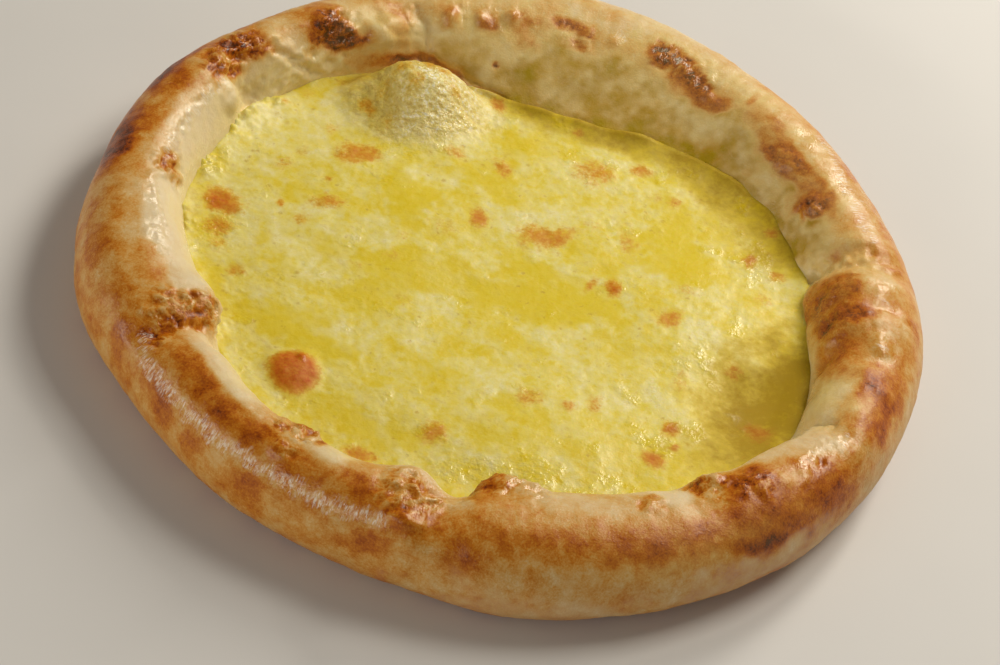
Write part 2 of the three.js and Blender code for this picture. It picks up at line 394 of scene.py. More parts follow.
def dome(place_azimuth, place_along, wide, high, turn=0, bend=0.15):
    """A swelling of 1 at its middle: (1 - d^2)^2 inside the ellipse d < 1 of a width and height in mm."""
    x, y = local(place_azimuth, place_along)
    x = x + bend * wide * (warp_wide[0] + 0.3 * warp_fine[0])
    y = y + bend * high * (warp_wide[1] + 0.3 * warp_fine[1])
    c, s = np.cos(np.radians(turn)), np.sin(np.radians(turn))
    across, up = x * c + y * s, y * c - x * s
    away = (across / (wide / 2)) ** 2 + (up / (high / 2)) ** 2
    return np.clip(1 - away, 0, 1) ** 2


def stroke(path, width, bend=0.5):
    """1 on a path of (azimuth, along) places, falling as a bell whose waist is a width in mm.

    The distance to the path is the least of the distances to its straight pieces.
    """
    x, y = local(*path[0])
    x = x + bend * width * warp_fine[0]
    y = y + bend * width * warp_fine[1]
    first_azimuth, first_along = path[0]
    corners = []
    for place_azimuth, place_along in path:
        up = arc_at(place_azimuth, place_along) - arc_at(place_azimuth, first_along)
        corners.append((around_from(place_azimuth, first_azimuth, first_along), up))
    least = np.full(AZ.shape, np.inf)
    for (x0, y0), (x1, y1) in zip(corners, corners[1:]):
        length2 = (x1 - x0) ** 2 + (y1 - y0) ** 2
        t = np.clip(((x - x0) * (x1 - x0) + (y - y0) * (y1 - y0)) / length2, 0, 1)
        least = np.minimum(least, np.hypot(x - x0 - t * (x1 - x0), y - y0 - t * (y1 - y0)))
    return np.exp(-((least / (width / 2)) ** 2))


print("a 10 mm dome covers", int((dome(40, 0.6, 10, 10) > 0).sum()), "points")

# %% Laying a table of marks


def laid_over(field, table, **edge):
    """A field after each row's patch has pulled it towards the row's last number, one after another."""
    for *area, value in table:
        field = field + (value - field) * patch(*area, **edge)
    return field


def strongest(table, mark, least=0.0):
    """The greatest of a table's marks at each point, each times the row's last number."""
    for *area, amount in table:
        least = np.maximum(least, amount * mark(*area))
    return least


overlap = strongest([(0, 30, 0.4, 0.6, 1.0), (20, 50, 0.4, 0.6, 0.5)], patch)
print("two patches that overlap reach at most", overlap.max().round(2))

# %% [markdown]
# ## Where the crust has browned
#
# Browning is one number for each point, the bake: 0 is pale dough, 0.5 golden brown, 0.75 brown and 1 burnt
# black. It starts from how any such rim bakes, darkest on the shoulder that faces the oven's roof and on the
# bottom edge, palest on the inner wall that the cheese keeps moist. Then patches are laid over it one by
# one, each pulling the bake towards its own value, as a painter would build up the picture from large areas
# to small. A few of them are painted shade, not browning: the dark seam behind the mound and small dark
# patches in dimples. The creases and the grooves of crumpled skin are painted darker further on, as shade.

# %% Bake of the whole rim
bake = np.interp(
    ALONG,
    (0, 0.1, 0.2, 0.3, 0.42, 0.5, 0.58, 0.66, 0.75, 1),
    (0.8, 0.6, 0.48, 0.5, 0.56, 0.54, 0.4, 0.26, 0.16, 0.1),
)

# From azimuth, to azimuth, from along, to along, bake.
BROAD_BAKE = [
    # The far side: pale over the crest, an orange band below it, then the inner wall.
    (340, 128, 0.28, 0.58, 0.2),
    (80, 118, 0.5, 0.64, 0.36),
    (14, 122, 0.6, 0.68, 0.46),
    (14, 122, 0.69, 1.1, 0.3),
    # The left side.
    (132, 158, 0.48, 0.66, 0.44),
    (157, 184, 0.52, 0.68, 0.44),
    (142, 184, 0.22, 0.5, 0.6),
    (160, 212, 0.64, 1.1, 0.02),
    (184, 212, 0.49, 0.62, 0.36),
    (184, 212, 0.24, 0.48, 0.5),
    (188, 200, 0.58, 0.7, 0.06),
    (209, 218, 0.5, 0.9, 0.44),
    (214, 262, 0.4, 0.54, 0.7),
    (214, 262, 0.2, 0.41, 0.54),
    (218, 238, 0.57, 1.1, 0.08),
    (238, 248, 0.6, 0.85, 0.46),
    (247, 254, 0.55, 0.75, 0.12),
    (254, 270, 0.54, 0.75, 0.4),
    # The front.
    (268, 318, 0.4, 0.51, 0.64),
    (304, 330, 0.3, 0.5, 0.7),
    (268, 306, 0.18, 0.37, 0.4),
    (271, 282, 0.6, 0.9, 0.62),
    (279, 298, 0.56, 0.9, 0.28),
    (300, 305.5, 0.56, 0.85, 0.1),
    (310, 318, 0.5, 0.74, 0.66),
    (318, 334, 0.3, 0.5, 0.62),
    (326, 334, 0.5, 0.8, 0.16),
    (333, 347, 0.4, 0.6, 0.6),
    (335, 344, 0.62, 1.1, 0.3),
    (344, 356, 0.6, 0.97, 0.58),
    (340, 60, 0.24, 0.56, 0.5),
    (354, 13, 0.62, 1.0, 0.66),
    (5, 13, 0.5, 0.64, 0.28),
    # The floured belly.
    (326, 12, 0.16, 0.36, 0.4),
    (300, 330, 0.24, 0.34, 0.46),
]

bake = laid_over(bake, BROAD_BAKE)
print("mean bake of the rim:", bake.mean().round(2))

# %% Browned patches and burnt spots
# From azimuth, to azimuth, from along, to along, bake.
BROWN_PATCHES = [
    # The far right: a brown fold, then spots along the crest.
    (1.5, 9, 0.66, 0.96, 0.8),
    (357, 4, 0.58, 0.78, 0.74),
    (17, 22, 0.5, 0.63, 0.5),
    (15, 18, 0.66, 0.78, 0.5),
    (26, 50, 0.59, 0.69, 0.72),
    (29, 39, 0.63, 0.73, 0.72),
    (24, 33, 0.61, 0.78, 0.7),
    (34, 46, 0.61, 0.72, 0.76),
    (26, 30.5, 0.65, 0.76, 0.9),
    (43, 52, 0.56, 0.66, 0.6),
    (45, 49, 0.56, 0.61, 0.66),
    (53, 54.4, 0.54, 0.61, 0.62),
    (56, 67, 0.63, 0.7, 0.76),
    (61, 68, 0.61, 0.67, 0.86),
    (66, 74.5, 0.575, 0.64, 0.88),
    (83, 92, 0.6, 0.635, 0.8),
    (83, 91, 0.65, 0.68, 0.62),
    (29, 31, 0.9, 1.05, 0.7),
    (45, 47.5, 0.85, 1.05, 0.68),
    (43, 45, 0.79, 0.83, 0.5),
    # The back.
    (92, 99, 0.66, 0.71, 0.6),
    (96, 100, 0.61, 0.67, 0.66),
    (101.5, 105.5, 0.61, 0.69, 0.7),
    (107.5, 111.5, 0.61, 0.7, 0.7),
    # Painted shade: a small dark patch in the dimple at 101.5 degrees.
    (100.8, 102.2, 0.765, 0.785, 0.9),
    (102, 105, 0.88, 0.97, 0.7),
    # Painted shade: a dark band where the rim overhangs the cheese behind the mound, in this row and the next.
    (101, 130, 0.88, 0.99, 0.8),
    (108, 120, 0.84, 0.92, 0.66),
    (117.5, 123, 0.56, 0.8, 0.58),
    (119, 123, 0.53, 0.63, 0.66),
    (126.5, 137.5, 0.54, 0.86, 0.66),
    (128, 133, 0.68, 0.84, 1.0),
    (131, 137, 0.61, 0.78, 1.0),
    # The far left: a wide burnt wrinkle.
    (143, 148, 0.53, 0.7, 0.84),
    (146, 155, 0.5, 0.58, 0.84),
    (153, 157.5, 0.54, 0.68, 0.88),
    (149.5, 154.5, 0.6, 0.74, 0.76),
    (157, 166, 0.46, 0.6, 0.62),
    (155, 165, 0.38, 0.48, 1.0),
    (160, 165, 0.46, 0.56, 0.76),
    (170, 175, 0.53, 0.6, 0.6),
    (171, 182, 0.33, 0.51, 1.0),
    (176.5, 181, 0.64, 0.82, 0.66),
    # The left side.
    (180, 184, 0.38, 0.47, 0.8),
    (195, 200.5, 0.34, 0.45, 0.68),
    (200, 209, 0.5, 0.64, 0.52),
    (205, 208, 0.43, 0.48, 0.62),
    (213.4, 216.8, 0.5, 0.8, 0.56),
    (209.5, 211, 0.6, 0.76, 0.6),
    # Painted shade: a dark patch in the dimple at 216 degrees.
    (215, 218, 0.44, 0.49, 0.78),
    (211, 216, 0.3, 0.42, 0.7),
    (221.5, 227.5, 0.26, 0.38, 0.78),
    (230, 234, 0.28, 0.34, 0.68),
    (241.5, 244.5, 0.28, 0.36, 0.7),
    (236, 240, 0.56, 0.76, 0.46),
    (241, 243, 0.6, 0.76, 0.78),
    (247.4, 248.8, 0.64, 0.78, 0.72),
    (240, 243, 0.46, 0.56, 0.69),
    (252, 258, 0.45, 0.55, 0.69),
    (217, 238, 0.45, 0.555, 0.74),
    # The front.
    (257.5, 263, 0.27, 0.37, 0.8),
    (262, 266.5, 0.37, 0.43, 0.8),
    (262, 267.5, 0.43, 0.5, 0.7),
    (259.3, 260.8, 0.55, 0.68, 0.7),
    (263, 268.5, 0.48, 0.64, 0.62),
    (270, 275.5, 0.3, 0.43, 0.64),
    (273, 277, 0.44, 0.52, 0.78),
    (271, 275.5, 0.6, 0.85, 0.7),
    (280, 282.5, 0.55, 0.62, 0.52),
    (297, 300.5, 0.55, 0.7, 0.52),
    (290, 316, 0.39, 0.47, 0.68),
    (293, 299, 0.4, 0.47, 0.78),
    (309, 319, 0.33, 0.41, 0.9),
    (305, 320, 0.4, 0.5, 0.76),
    (305.5, 309.5, 0.6, 0.78, 0.62),
    (311, 318, 0.5, 0.7, 0.84),
    (318, 329, 0.29, 0.46, 0.82),
    (318, 323, 0.52, 0.64, 0.58),
    # Painted shade: a dark patch in the dimple at 326 degrees.
    (325.6, 327.4, 0.45, 0.51, 0.8),
    (333, 339, 0.42, 0.52, 0.62),
    (338, 349, 0.38, 0.56, 0.72),
    (341, 346.5, 0.42, 0.55, 0.82),
    (349, 354, 0.58, 0.9, 0.7),
    (355, 1, 0.6, 0.86, 0.78),
]

bake = laid_over(bake, BROWN_PATCHES, bend=0.45, soft=0.55)
bake += (0.14 * warp_wide[0] + 0.05 * warp_fine[1]) * ramp(bake, 0, 0.4)
print("share of the rim that is browned over 0.7:", (bake > 0.7).mean().round(2))

# %% [markdown]
# ## Relief of the skin
#
# Steam lifts the skin in domes, folds stay where the dough was pressed together, and where the crust burns
# it dries out and wrinkles. All of this is real relief on the mesh, worked out in mm and added square to the
# skin. Blisters inside burnt patches come from cell noise: points are scattered at random and each one
# carries a small dome, which gives the pebbled look of a scorched bubble.

# %% Cell noise
CELL_REACH_SQUARED = 0.49


def cells(points, size, seed):
    """Small domes at random places, about a size apart in mm: 1 at a dome's middle, 0 at its foot.

    Every lattice cell holds one random point; the value is 1 - (d / 0.7)^2 for the nearest point in
    the 27 cells around, d being the distance to it in cells.
    """
    offsets = np.random.default_rng(seed).random((LATTICE, LATTICE, LATTICE, 3))
    place = points / size
    cell = np.floor(place).astype(int)
    nearest = np.full(len(points), 9.0)
    for shift in np.ndindex(3, 3, 3):
        near = cell + np.array(shift) - 1
        x, y, z = (near % LATTICE).T
        away = place - near - offsets[x, y, z]
        nearest = np.minimum(nearest, np.sum(away * away, axis=1))
    return np.clip(1 - nearest / CELL_REACH_SQUARED, 0, 1)


# %% Domes and dimples
# Azimuth, along, width mm, height mm, turn degrees, rise mm.
DOMES = [
    (28.5, 0.73, 10, 10, 0, 1.1),
    (39, 0.66, 18, 9, 0, 0.7),
    (60, 0.66, 12, 7, 0, 0.8),
    (80, 0.62, 8, 6, 0, 0.6),
    (99.3, 0.63, 8, 8, 0, 1.9),
    (104.1, 0.65, 8, 9, 0, 2.0),
    (109.8, 0.655, 9, 10, 0, 2.0),
    (101.5, 0.775, 3, 3, 0, -0.9),
    (119.5, 0.69, 13, 15, 0, 1.9),
    (156.3, 0.81, 11, 15, 0, 1.4),
    (3.3, 0.55, 12, 10, 0, 0.7),
    (353, 0.53, 12, 10, 0, 0.7),
    (129, 0.77, 9, 14, 20, 1.3),
    (133.5, 0.66, 9, 12, 20, 1.2),
    (149, 0.6, 26, 14, 0, 0.8),
    (157.5, 0.78, 11, 16, 0, 1.5),
    (188, 0.66, 8, 6, 0, 0.6),
    (193, 0.67, 8, 8, 0, 0.8),
    (197, 0.62, 7, 7, 0, 0.5),
    (216, 0.47, 8, 5, 0, -0.9),
    (230, 0.66, 40, 26, 0, 0.8),
    (244, 0.5, 7, 9, 0, 0.8),
    (244, 0.74, 9, 16, 0, 1.0),
    (250, 0.62, 14, 18, 0, 0.6),
    (264, 0.43, 12, 8, 0, 1.4),
    (264, 0.6, 8, 12, 0, 0.9),
    (267.5, 0.56, 8, 12, 0, 1.1),
    (277, 0.76, 24, 14, 0, 2.4),
    (299, 0.63, 10, 12, 0, 0.6),
    (310.5, 0.7, 14, 12, 0, 1.6),
    (315, 0.6, 14, 18, 0, 1.0),
    (318.5, 0.53, 7, 7, 0, 0.7),
    (326, 0.5, 6, 6, 0, -0.8),
    (330, 0.64, 13, 22, 0, 0.8),
    (344, 0.48, 10, 9, 0, 0.6),
    (352.5, 0.54, 12, 12, 0, 0.7),
    (357, 0.72, 12, 14, 0, 0.9),
    (5, 0.8, 14, 16, 0, 0.8),
]

relief = 0.5 * rim_noise(24, 3, 21)
for *place, rise in DOMES:
    relief += rise * dome(*place)
print("relief so far, mm:", relief.min().round(2), "to", relief.max().round(2))

# %% Folds and creases
# Width mm, height mm (below 0 for a crease), then the path as (azimuth, along) places.
FOLDS = [
    (4.5, 1.0, ((9, 0.97), (12, 0.82), (13.2, 0.68), (13, 0.56), (11, 0.46))),
    (3.2, -1.0, ((14.5, 0.97), (15.3, 0.8), (15.6, 0.65), (15, 0.53))),
    (3.0, -0.5, ((3.5, 0.97), (6, 0.84), (8, 0.7), (9, 0.6))),
    (3.0, -0.5, ((356, 0.86), (358, 0.74), (360, 0.62), (1, 0.5))),
    (3.5, 0.6, ((353, 0.84), (355, 0.72), (357, 0.6), (358, 0.48))),
    (3.5, 0.5, ((346, 0.92), (349, 0.78), (351, 0.66))),
    (2.4, -1.2, ((334.5, 0.94), (334.8, 0.76), (334.4, 0.62))),
    (4.5, 0.8, ((332.4, 0.92), (332.4, 0.74), (331.0, 0.58))),
    (2.4, -0.5, ((61, 0.63), (65, 0.61), (68, 0.585), (74, 0.6))),
    (2.4, 0.5, ((60, 0.66), (64, 0.64), (69, 0.61), (73, 0.63))),
    (2.2, -0.4, ((83, 0.66), (87, 0.615), (92, 0.61))),
    (3.0, -1.0, ((99, 0.92), (107, 0.87), (114, 0.86), (119, 0.92))),
    (3.6, 0.9, ((118, 0.9), (117, 0.76), (117.4, 0.6))),
    (2.6, -0.9, ((115.6, 0.88), (114.8, 0.72), (115.4, 0.58))),
    (3.4, 0.8, ((135, 0.92), (139, 0.8), (142, 0.7), (144, 0.6))),
    (2.6, 0.6, ((138.5, 0.94), (143, 0.8), (146, 0.68))),
    (2.4, -0.5, ((137, 0.93), (141, 0.8), (144.5, 0.68))),
    (4.5, -1.2, ((151, 0.96), (153, 0.8), (154.5, 0.68))),
    (2.2, -0.7, ((176.5, 0.82), (179.5, 0.72), (182, 0.63))),
    (2.6, 0.8, ((178.3, 0.83), (181.4, 0.72), (184, 0.62))),
    (5.0, 0.9, ((211.5, 0.9), (212.5, 0.75), (213, 0.6), (213.5, 0.46))),
    (2.6, -0.9, ((216, 0.78), (216.4, 0.65), (216, 0.52), (217, 0.45))),
    (2.2, -0.6, ((241, 0.82), (241.5, 0.7), (242.4, 0.6))),
    (2.2, -0.5, ((245, 0.82), (245.2, 0.7), (246, 0.61))),
    (2.4, -0.5, ((258.8, 0.72), (258.4, 0.64), (258.6, 0.57))),
    (2.4, 0.6, ((260.8, 0.72), (260.6, 0.64), (261, 0.56))),
    (2.4, -0.5, ((271.4, 0.84), (271.6, 0.72), (272.5, 0.62))),
    (3.0, 0.6, ((282.5, 0.82), (281, 0.71), (280, 0.62))),
]

creased = np.zeros(AZ.shape)
for width, height, path in FOLDS:
    line = stroke(path, width)
    relief += height * line
    creased = np.maximum(creased, line * (height < 0))
print("creases cover, share of the rim:", (creased > 0.5).mean().round(3))

# %% Crumpled and scorched skin
# From azimuth, to azimuth, from along, to along, strength: where the skin has dried and puckered.
CRUMPLES = [
    (1, 10, 0.64, 0.94, 0.2),
    (354, 1, 0.62, 0.82, 0.25),
    (60, 75, 0.57, 0.66, 0.6),
    (83, 92, 0.6, 0.68, 0.5),
    (92, 112, 0.61, 0.71, 0.25),
    (26, 30, 0.67, 0.78, 0.5),
    (34, 44, 0.62, 0.72, 0.35),
    (127, 137, 0.6, 0.84, 0.8),
    (143, 157.5, 0.5, 0.71, 0.9),
    (130, 153, 0.76, 0.99, 0.55),
    (157, 178, 0.66, 0.73, 0.5),
    (176, 182, 0.62, 0.83, 0.8),
    (187, 200, 0.6, 0.7, 0.5),
    (209.5, 217, 0.48, 0.92, 1.0),
    (215, 218.5, 0.43, 0.5, 0.8),
    (240, 248.5, 0.58, 0.85, 1.0),
    (243, 247, 0.47, 0.54, 0.7),
    (259, 268.5, 0.44, 0.74, 0.9),
    (272, 282, 0.66, 0.88, 0.7),
    (296.5, 301, 0.56, 0.7, 0.6),
    (305.5, 312, 0.58, 0.78, 0.9),
    (312, 318, 0.52, 0.72, 0.5),
    (320, 333, 0.46, 0.58, 0.3),
]

crumple = strongest(CRUMPLES, lambda *area: patch(*area, bend=0.4, soft=0.4))
burnt = ramp(bake, 0.7, 0.9) * ramp(ALONG, 0.44, 0.52)
dried = np.clip(crumple + 0.4 * burnt, 0, 1)

pebbles = cells(rim_points, 4.2, 31).reshape(AZ.shape)
grains = cells(rim_points, 2.4, 32).reshape(AZ.shape)
wrinkles = 1 - 2.5 * np.abs(rim_noise(5.5, 3, 33))

relief += dried * (0.6 * pebbles + 0.5 * grains + 0.8 * wrinkles - 0.7)
relief += 0.1 * rim_noise(2.4, 1, 34)
relief += 0.14 * rim_noise(5, 1, 35)
# Painted light and shade: crumpled skin is browned a little more, its raised pebbles and wrinkles are painted
# paler than the grooves between them, and creases are painted darker, as shade.
bake += crumple * (0.2 - 0.16 * pebbles - 0.3 * ramp(wrinkles, 0.3, 0.9)) * ramp(bake, 0.1, 0.5)
bake += 0.12 * creased * ramp(bake, 0.25, 0.6)
print("dried share of the rim:", (dried > 0.4).mean().round(3))

# %% Fine wrinkles across the rim
# The noise is laid on the rim as if it were unrolled: its cells are 3 mm wide around it, a whole number of
# them so that it closes, and three times as long along the section.
MEAN_RADIUS = 125
WRINKLE_CELLS = 8 * LATTICE

around_mm = AZ / 360 * 2 * np.pi * MEAN_RADIUS
stretched = np.stack([around_mm, ARC / 3, 0 * ARC], axis=-1).reshape(-1, 3)
across = noise(stretched, 2 * np.pi * MEAN_RADIUS / WRINKLE_CELLS, 36).reshape(AZ.shape)
relief += 0.16 * across * ramp(ALONG, 0.35, 0.45) * (1 - ramp(ALONG, 0.62, 0.74))
print("relief, mm:", relief.min().round(2), "to", relief.max().round(2))

# %% Crackled skin and painted highlights
# From azimuth, to azimuth, from along, to along, strength: a tight, wet skin with fine cracks.
CRACKLE_AREAS = [
    (216, 264, 0.345, 0.43, 0.5),
    (157, 178, 0.66, 0.73, 0.5),
    (186, 202, 0.6, 0.7, 0.4),
    (28, 66, 0.47, 0.55, 0.3),
    (322, 340, 0.44, 0.6, 0.3),
]
crackle = strongest(CRACKLE_AREAS, lambda *area: patch(*area, bend=0.35, soft=0.6), 0.7 * dried)

# The path as (azimuth, along) places, width mm, strength: painted highlights, pale fine streaks where the skin
# glints.
PAINTED_HIGHLIGHT_PATHS = [
    (((215, 0.43), (219, 0.385), (226, 0.375), (236, 0.392), (246, 0.4), (253, 0.388), (261, 0.415)), 6, 1.0),
    (((157, 0.68), (165, 0.7), (172, 0.7), (178, 0.68)), 5, 0.8),
    (((186, 0.65), (192, 0.66), (199, 0.64)), 5, 0.7),
    (((42, 0.45), (37, 0.47), (31, 0.5), (23, 0.525), (17, 0.52)), 6, 1.0),
    (((67, 0.6), (72, 0.59)), 4, 0.8),
    (((78, 0.61), (80, 0.6)), 4, 0.9),
    (((2, 0.52), (3, 0.58)), 3, 0.8),
    (((352, 0.49), (353, 0.55)), 3, 0.8),
    (((324, 0.54), (328, 0.55)), 4, 0.8),
    (((330, 0.48), (333, 0.51)), 3, 0.8),
]
flakes = strongest(PAINTED_HIGHLIGHT_PATHS, stroke)
print("flaked share of the rim:", (flakes > 0.4).mean().round(3))

# %% [markdown]
# ## Film, butter and flour
#
# Three more numbers steer the finish, besides the crackle and the painted highlights above. The film is the
# thin coat of melted cheese and butter that creeps up the inner wall and turns it olive yellow; towards the
# foot of the far wall it is also painted shade, thicker and darker olive. The butter says how wet the brushed
# crust shines. The flour is the dusting that was on the peel: it stays dull and pale under the belly.

# %% Film, butter and flour fields
# From azimuth, to azimuth, from along, to along, amount.
FILM_AND_SHADE_AREAS = [
    (0, 360, 0.92, 1.2, 0.6),
    # Painted shade: on the far wall the film grows thicker and darker olive towards the foot, where the wall
    # is in shade.
    (14, 128, 0.6, 1.2, 0.7),
    (16, 62, 0.74, 1.3, 1.0),
    (16, 124, 0.72, 1.2, 0.85),
    (16, 126, 0.84, 1.3, 1.0),
    (126, 166, 0.74, 1.2, 0.45),
    (153, 162, 0.7, 1.1, 0.45),
    (162, 212, 0.84, 1.2, 0.5),
    (226, 236, 0.68, 1.1, 0.5),
    (249, 254, 0.68, 1.1, 0.75),
    (334, 346, 0.62, 1.1, 0.5),
    (346, 14, 0.94, 1.2, 0.5),
    (294, 320, 0.36, 0.46, 0.25),
]
FLOUR_AREAS = [
    (298, 328, 0.2, 0.34, 0.5),
    (266, 298, 0.12, 0.3, 0.4),
    (328, 16, 0.1, 0.32, 0.35),
    (60, 180, 0.1, 0.34, 0.3),
]
BUTTER_AREAS = [
    (0, 360, 0.4, 0.72, 0.3),
    (28, 34, 0.5, 0.6, 0.9),
    (38, 44, 0.48, 0.56, 0.9),
    (60, 75, 0.57, 0.66, 0.9),
    (76, 84, 0.56, 0.66, 0.95),
    (98, 112, 0.58, 0.7, 1.0),
    (126, 138, 0.58, 0.84, 0.9),
    (146, 156, 0.52, 0.66, 0.9),
    (158, 178, 0.63, 0.72, 0.95),
    (186, 200, 0.58, 0.7, 0.95),
    (209, 217, 0.48, 0.86, 0.95),
    (214, 268, 0.34, 0.47, 1.0),
    (241, 247, 0.46, 0.78, 0.95),
    (259, 268, 0.42, 0.6, 0.6),
    (272, 282, 0.64, 0.88, 0.95),
    (305, 313, 0.55, 0.8, 0.95),
    (321, 328, 0.47, 0.6, 1.0),
    (329, 334, 0.44, 0.55, 1.0),
    (350, 356, 0.47, 0.58, 1.0),
    (0, 7, 0.48, 0.6, 1.0),
    (338, 348, 0.38, 0.58, 0.1),
    (20, 42, 0.4, 0.5, 0.9),
    (354, 8, 0.64, 0.9, 0.9),
    (0, 360, 0.9, 1.2, 0.9),
]

film = strongest(FILM_AND_SHADE_AREAS, lambda *area: patch(*area, bend=0.35, soft=0.8))
film = np.clip(film + film * (0.15 * warp_wide[1] + 0.15 * warp_fine[0]), 0, 1)
film *= 1 - 0.75 * ramp(bake, 0.5, 0.75)
flour = strongest(FLOUR_AREAS, lambda *area: patch(*area, bend=0.5))
butter = laid_over(np.interp(ALONG, (0, 0.2, 0.36, 1), (0.15, 0.35, 0.6, 0.6)), BUTTER_AREAS)
butter = np.clip(butter + 0.12 * warp_wide[0], 0, 1)
print("filmed share of the rim:", (film > 0.5).mean().round(2))

# %% [markdown]
# ## The bread as one closed mesh
#
# The relief is added square to the spline surface, eased out where the rim meets the table, so that the
# pide still stands on its flat underside. A few more rings close the underside and the floor of the well,
# which the cheese hides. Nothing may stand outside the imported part's box, so the result is held inside it.

# %% Helper: a closed mesh from rings


def closed_mesh(name, rings, bottom, top):
    """A mesh object from rings (n, columns, 3) in mm, with a pole at each end, faces pointing out."""
    count, columns = rings.shape[:2]
    points = np.concatenate([[bottom], rings.reshape(-1, 3), [top]]) * MM
    here = 1 + np.arange(count)[:, None] * columns + np.arange(columns)
    beside = np.roll(here, -1, axis=1)
    quads = np.stack([here[:-1], beside[:-1], beside[1:], here[1:]], axis=-1).reshape(-1, 4)
    first = np.stack([np.zeros(columns, int), beside[0], here[0]], axis=-1)
    last = np.stack([here[-1], beside[-1], np.full(columns, len(points) - 1)], axis=-1)
    return mesh_from(name, points, quads, np.concatenate([first, last]))


def mesh_from(name, points, quads, triangles):
    """A smooth-shaded mesh object from points in metres, quads and triangles."""
    loops = np.concatenate([quads.ravel(), triangles.ravel()]).astype(np.int32)
    starts = np.concatenate([np.arange(len(quads)) * 4, len(quads) * 4 + np.arange(len(triangles)) * 3])
    mesh = bpy.data.meshes.new(name)
    mesh.vertices.add(len(points))
    mesh.vertices.foreach_set("co", points.astype(np.float32).ravel())
    mesh.loops.add(len(loops))
    mesh.loops.foreach_set("vertex_index", loops)
    mesh.polygons.add(len(starts))
    mesh.polygons.foreach_set("loop_start", starts.astype(np.int32))
    mesh.update(calc_edges=True)
    mesh.validate()
    mesh.polygons.foreach_set("use_smooth", np.ones(len(starts), bool))
    piece = bpy.data.objects.new(name, mesh)
    scene.collection.objects.link(piece)
    return piece


def paint(piece, name, values):
    """Stores a number or a vector for each point of a piece, for its material to read."""
    kind, field = ("FLOAT", "value") if values.ndim == 1 else ("FLOAT_VECTOR", "vector")
    layer = piece.data.attributes.new(name, kind, "POINT")
    layer.data.foreach_set(field, np.ascontiguousarray(values, np.float32).ravel())


# %% Build the bread
ease = ramp(ALONG, 0.0, 0.12) * (1 - 0.4 * ramp(ALONG, 0.9, 1.0))
skin = rim + rim_normals * (relief * ease - 0.15 * ramp(ALONG, 0, 0.1))[..., None]

BOX_MARGIN = 0.02
inside = np.clip(skin, cad_low / MM + BOX_MARGIN, cad_high / MM - BOX_MARGIN)
print("held inside the box, mm:", np.abs(inside - skin).max().round(2))
skin = inside
skin[:, 0, 2] = 0

UNDERSIDE_SHARES = np.array((0.3, 0.6, 0.85))
underside = skin[None, :, 0] * UNDERSIDE_SHARES[:, None, None]
well = fine_sections[:, 1 + len(CAD_ALONG) :].transpose(1, 0, 2)
rings = np.concatenate([underside, skin.transpose(1, 0, 2), well])
bread = closed_mesh("bread_crust", rings, (0, 0, 0), (0, 0, well[-1, :, 2].mean()))
print("bread:", len(bread.data.vertices), "points,", len(bread.data.polygons), "faces")

# %% Paint the bread


def over_bread(field, below, above):
    """A rim field stretched over the whole bread, with one value for the underside and one for the well."""
    rows = [np.full(underside.shape[:2], below), field.T, np.full(well.shape[:2], above)]
    return np.concatenate([[below], np.concatenate(rows).ravel(), [above]])


for name, field, below, above in (
    ("bake", np.clip(bake, 0, 1), 0.7, 0.1),
    ("film", film, 0, 1),
    ("butter", butter, 0.1, 0.6),
    ("flour", flour, 0.5, 0),
    ("crackle", crackle, 0, 0),
    ("flakes", flakes, 0, 0),
):
    paint(bread, name, over_bread(field, below, above))

# A place for each point on an upright drum, the section shortened to a quarter: noise that is read there
# comes out as streaks four times as long across the rim as around it.
STREAK_STRETCH = 4
drum = [MEAN_RADIUS * np.cos(np.radians(AZ)), MEAN_RADIUS * np.sin(np.radians(AZ)), ARC / STREAK_STRETCH]
paint(bread, "unrolled", np.stack([over_bread(part, 0, 0) for part in drum], axis=-1) * MM)
print("painted on the bread, mean bake and butter:", bake.mean().round(2), butter.mean().round(2))

# %% [markdown]
# ## The cheese
#
# Melted cheese is not a flat sheet. It settles in soft swellings, curds stay in it as pale, finely granular
# patches, melted butter gathers yellow between them, and where a bubble rose it browned. The top is a square
# grid bent into the round outline, so that its points lie evenly, with none crowded at a pole. Its heights
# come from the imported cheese, with the curds and blisters added, and it reaches a little way into the bread,
# so that no gap shows at the wall.

# %% An even grid on a round outline
CHEESE_SIDE = 296
EDGE_INTO_BREAD = 3.0
SIDE_GAP = 0.35

u, v = np.meshgrid(np.linspace(-1, 1, CHEESE_SIDE), np.linspace(-1, 1, CHEESE_SIDE), indexing="ij")
disc_x = u * np.sqrt(1 - v * v / 2)
disc_y = v * np.sqrt(1 - u * u / 2)
disc_share = np.clip(np.hypot(disc_x, disc_y), 0, 1).ravel()
disc_azimuth = np.degrees(np.arctan2(disc_y, disc_x)).ravel() % 360

line_radius = radius_of(skin)[:, -1]
edge = np.interp(disc_azimuth, azimuth, line_radius, period=360)
reach = (edge + EDGE_INTO_BREAD) * disc_share
CX = reach * np.cos(np.radians(disc_azimuth))
CY = reach * np.sin(np.radians(disc_azimuth))
inner_share = np.clip(reach / (edge - SIDE_GAP), 0, 1)
print("cheese outline, mm:", np.ptp(CX).round(1), "by", np.ptp(CY).round(1))

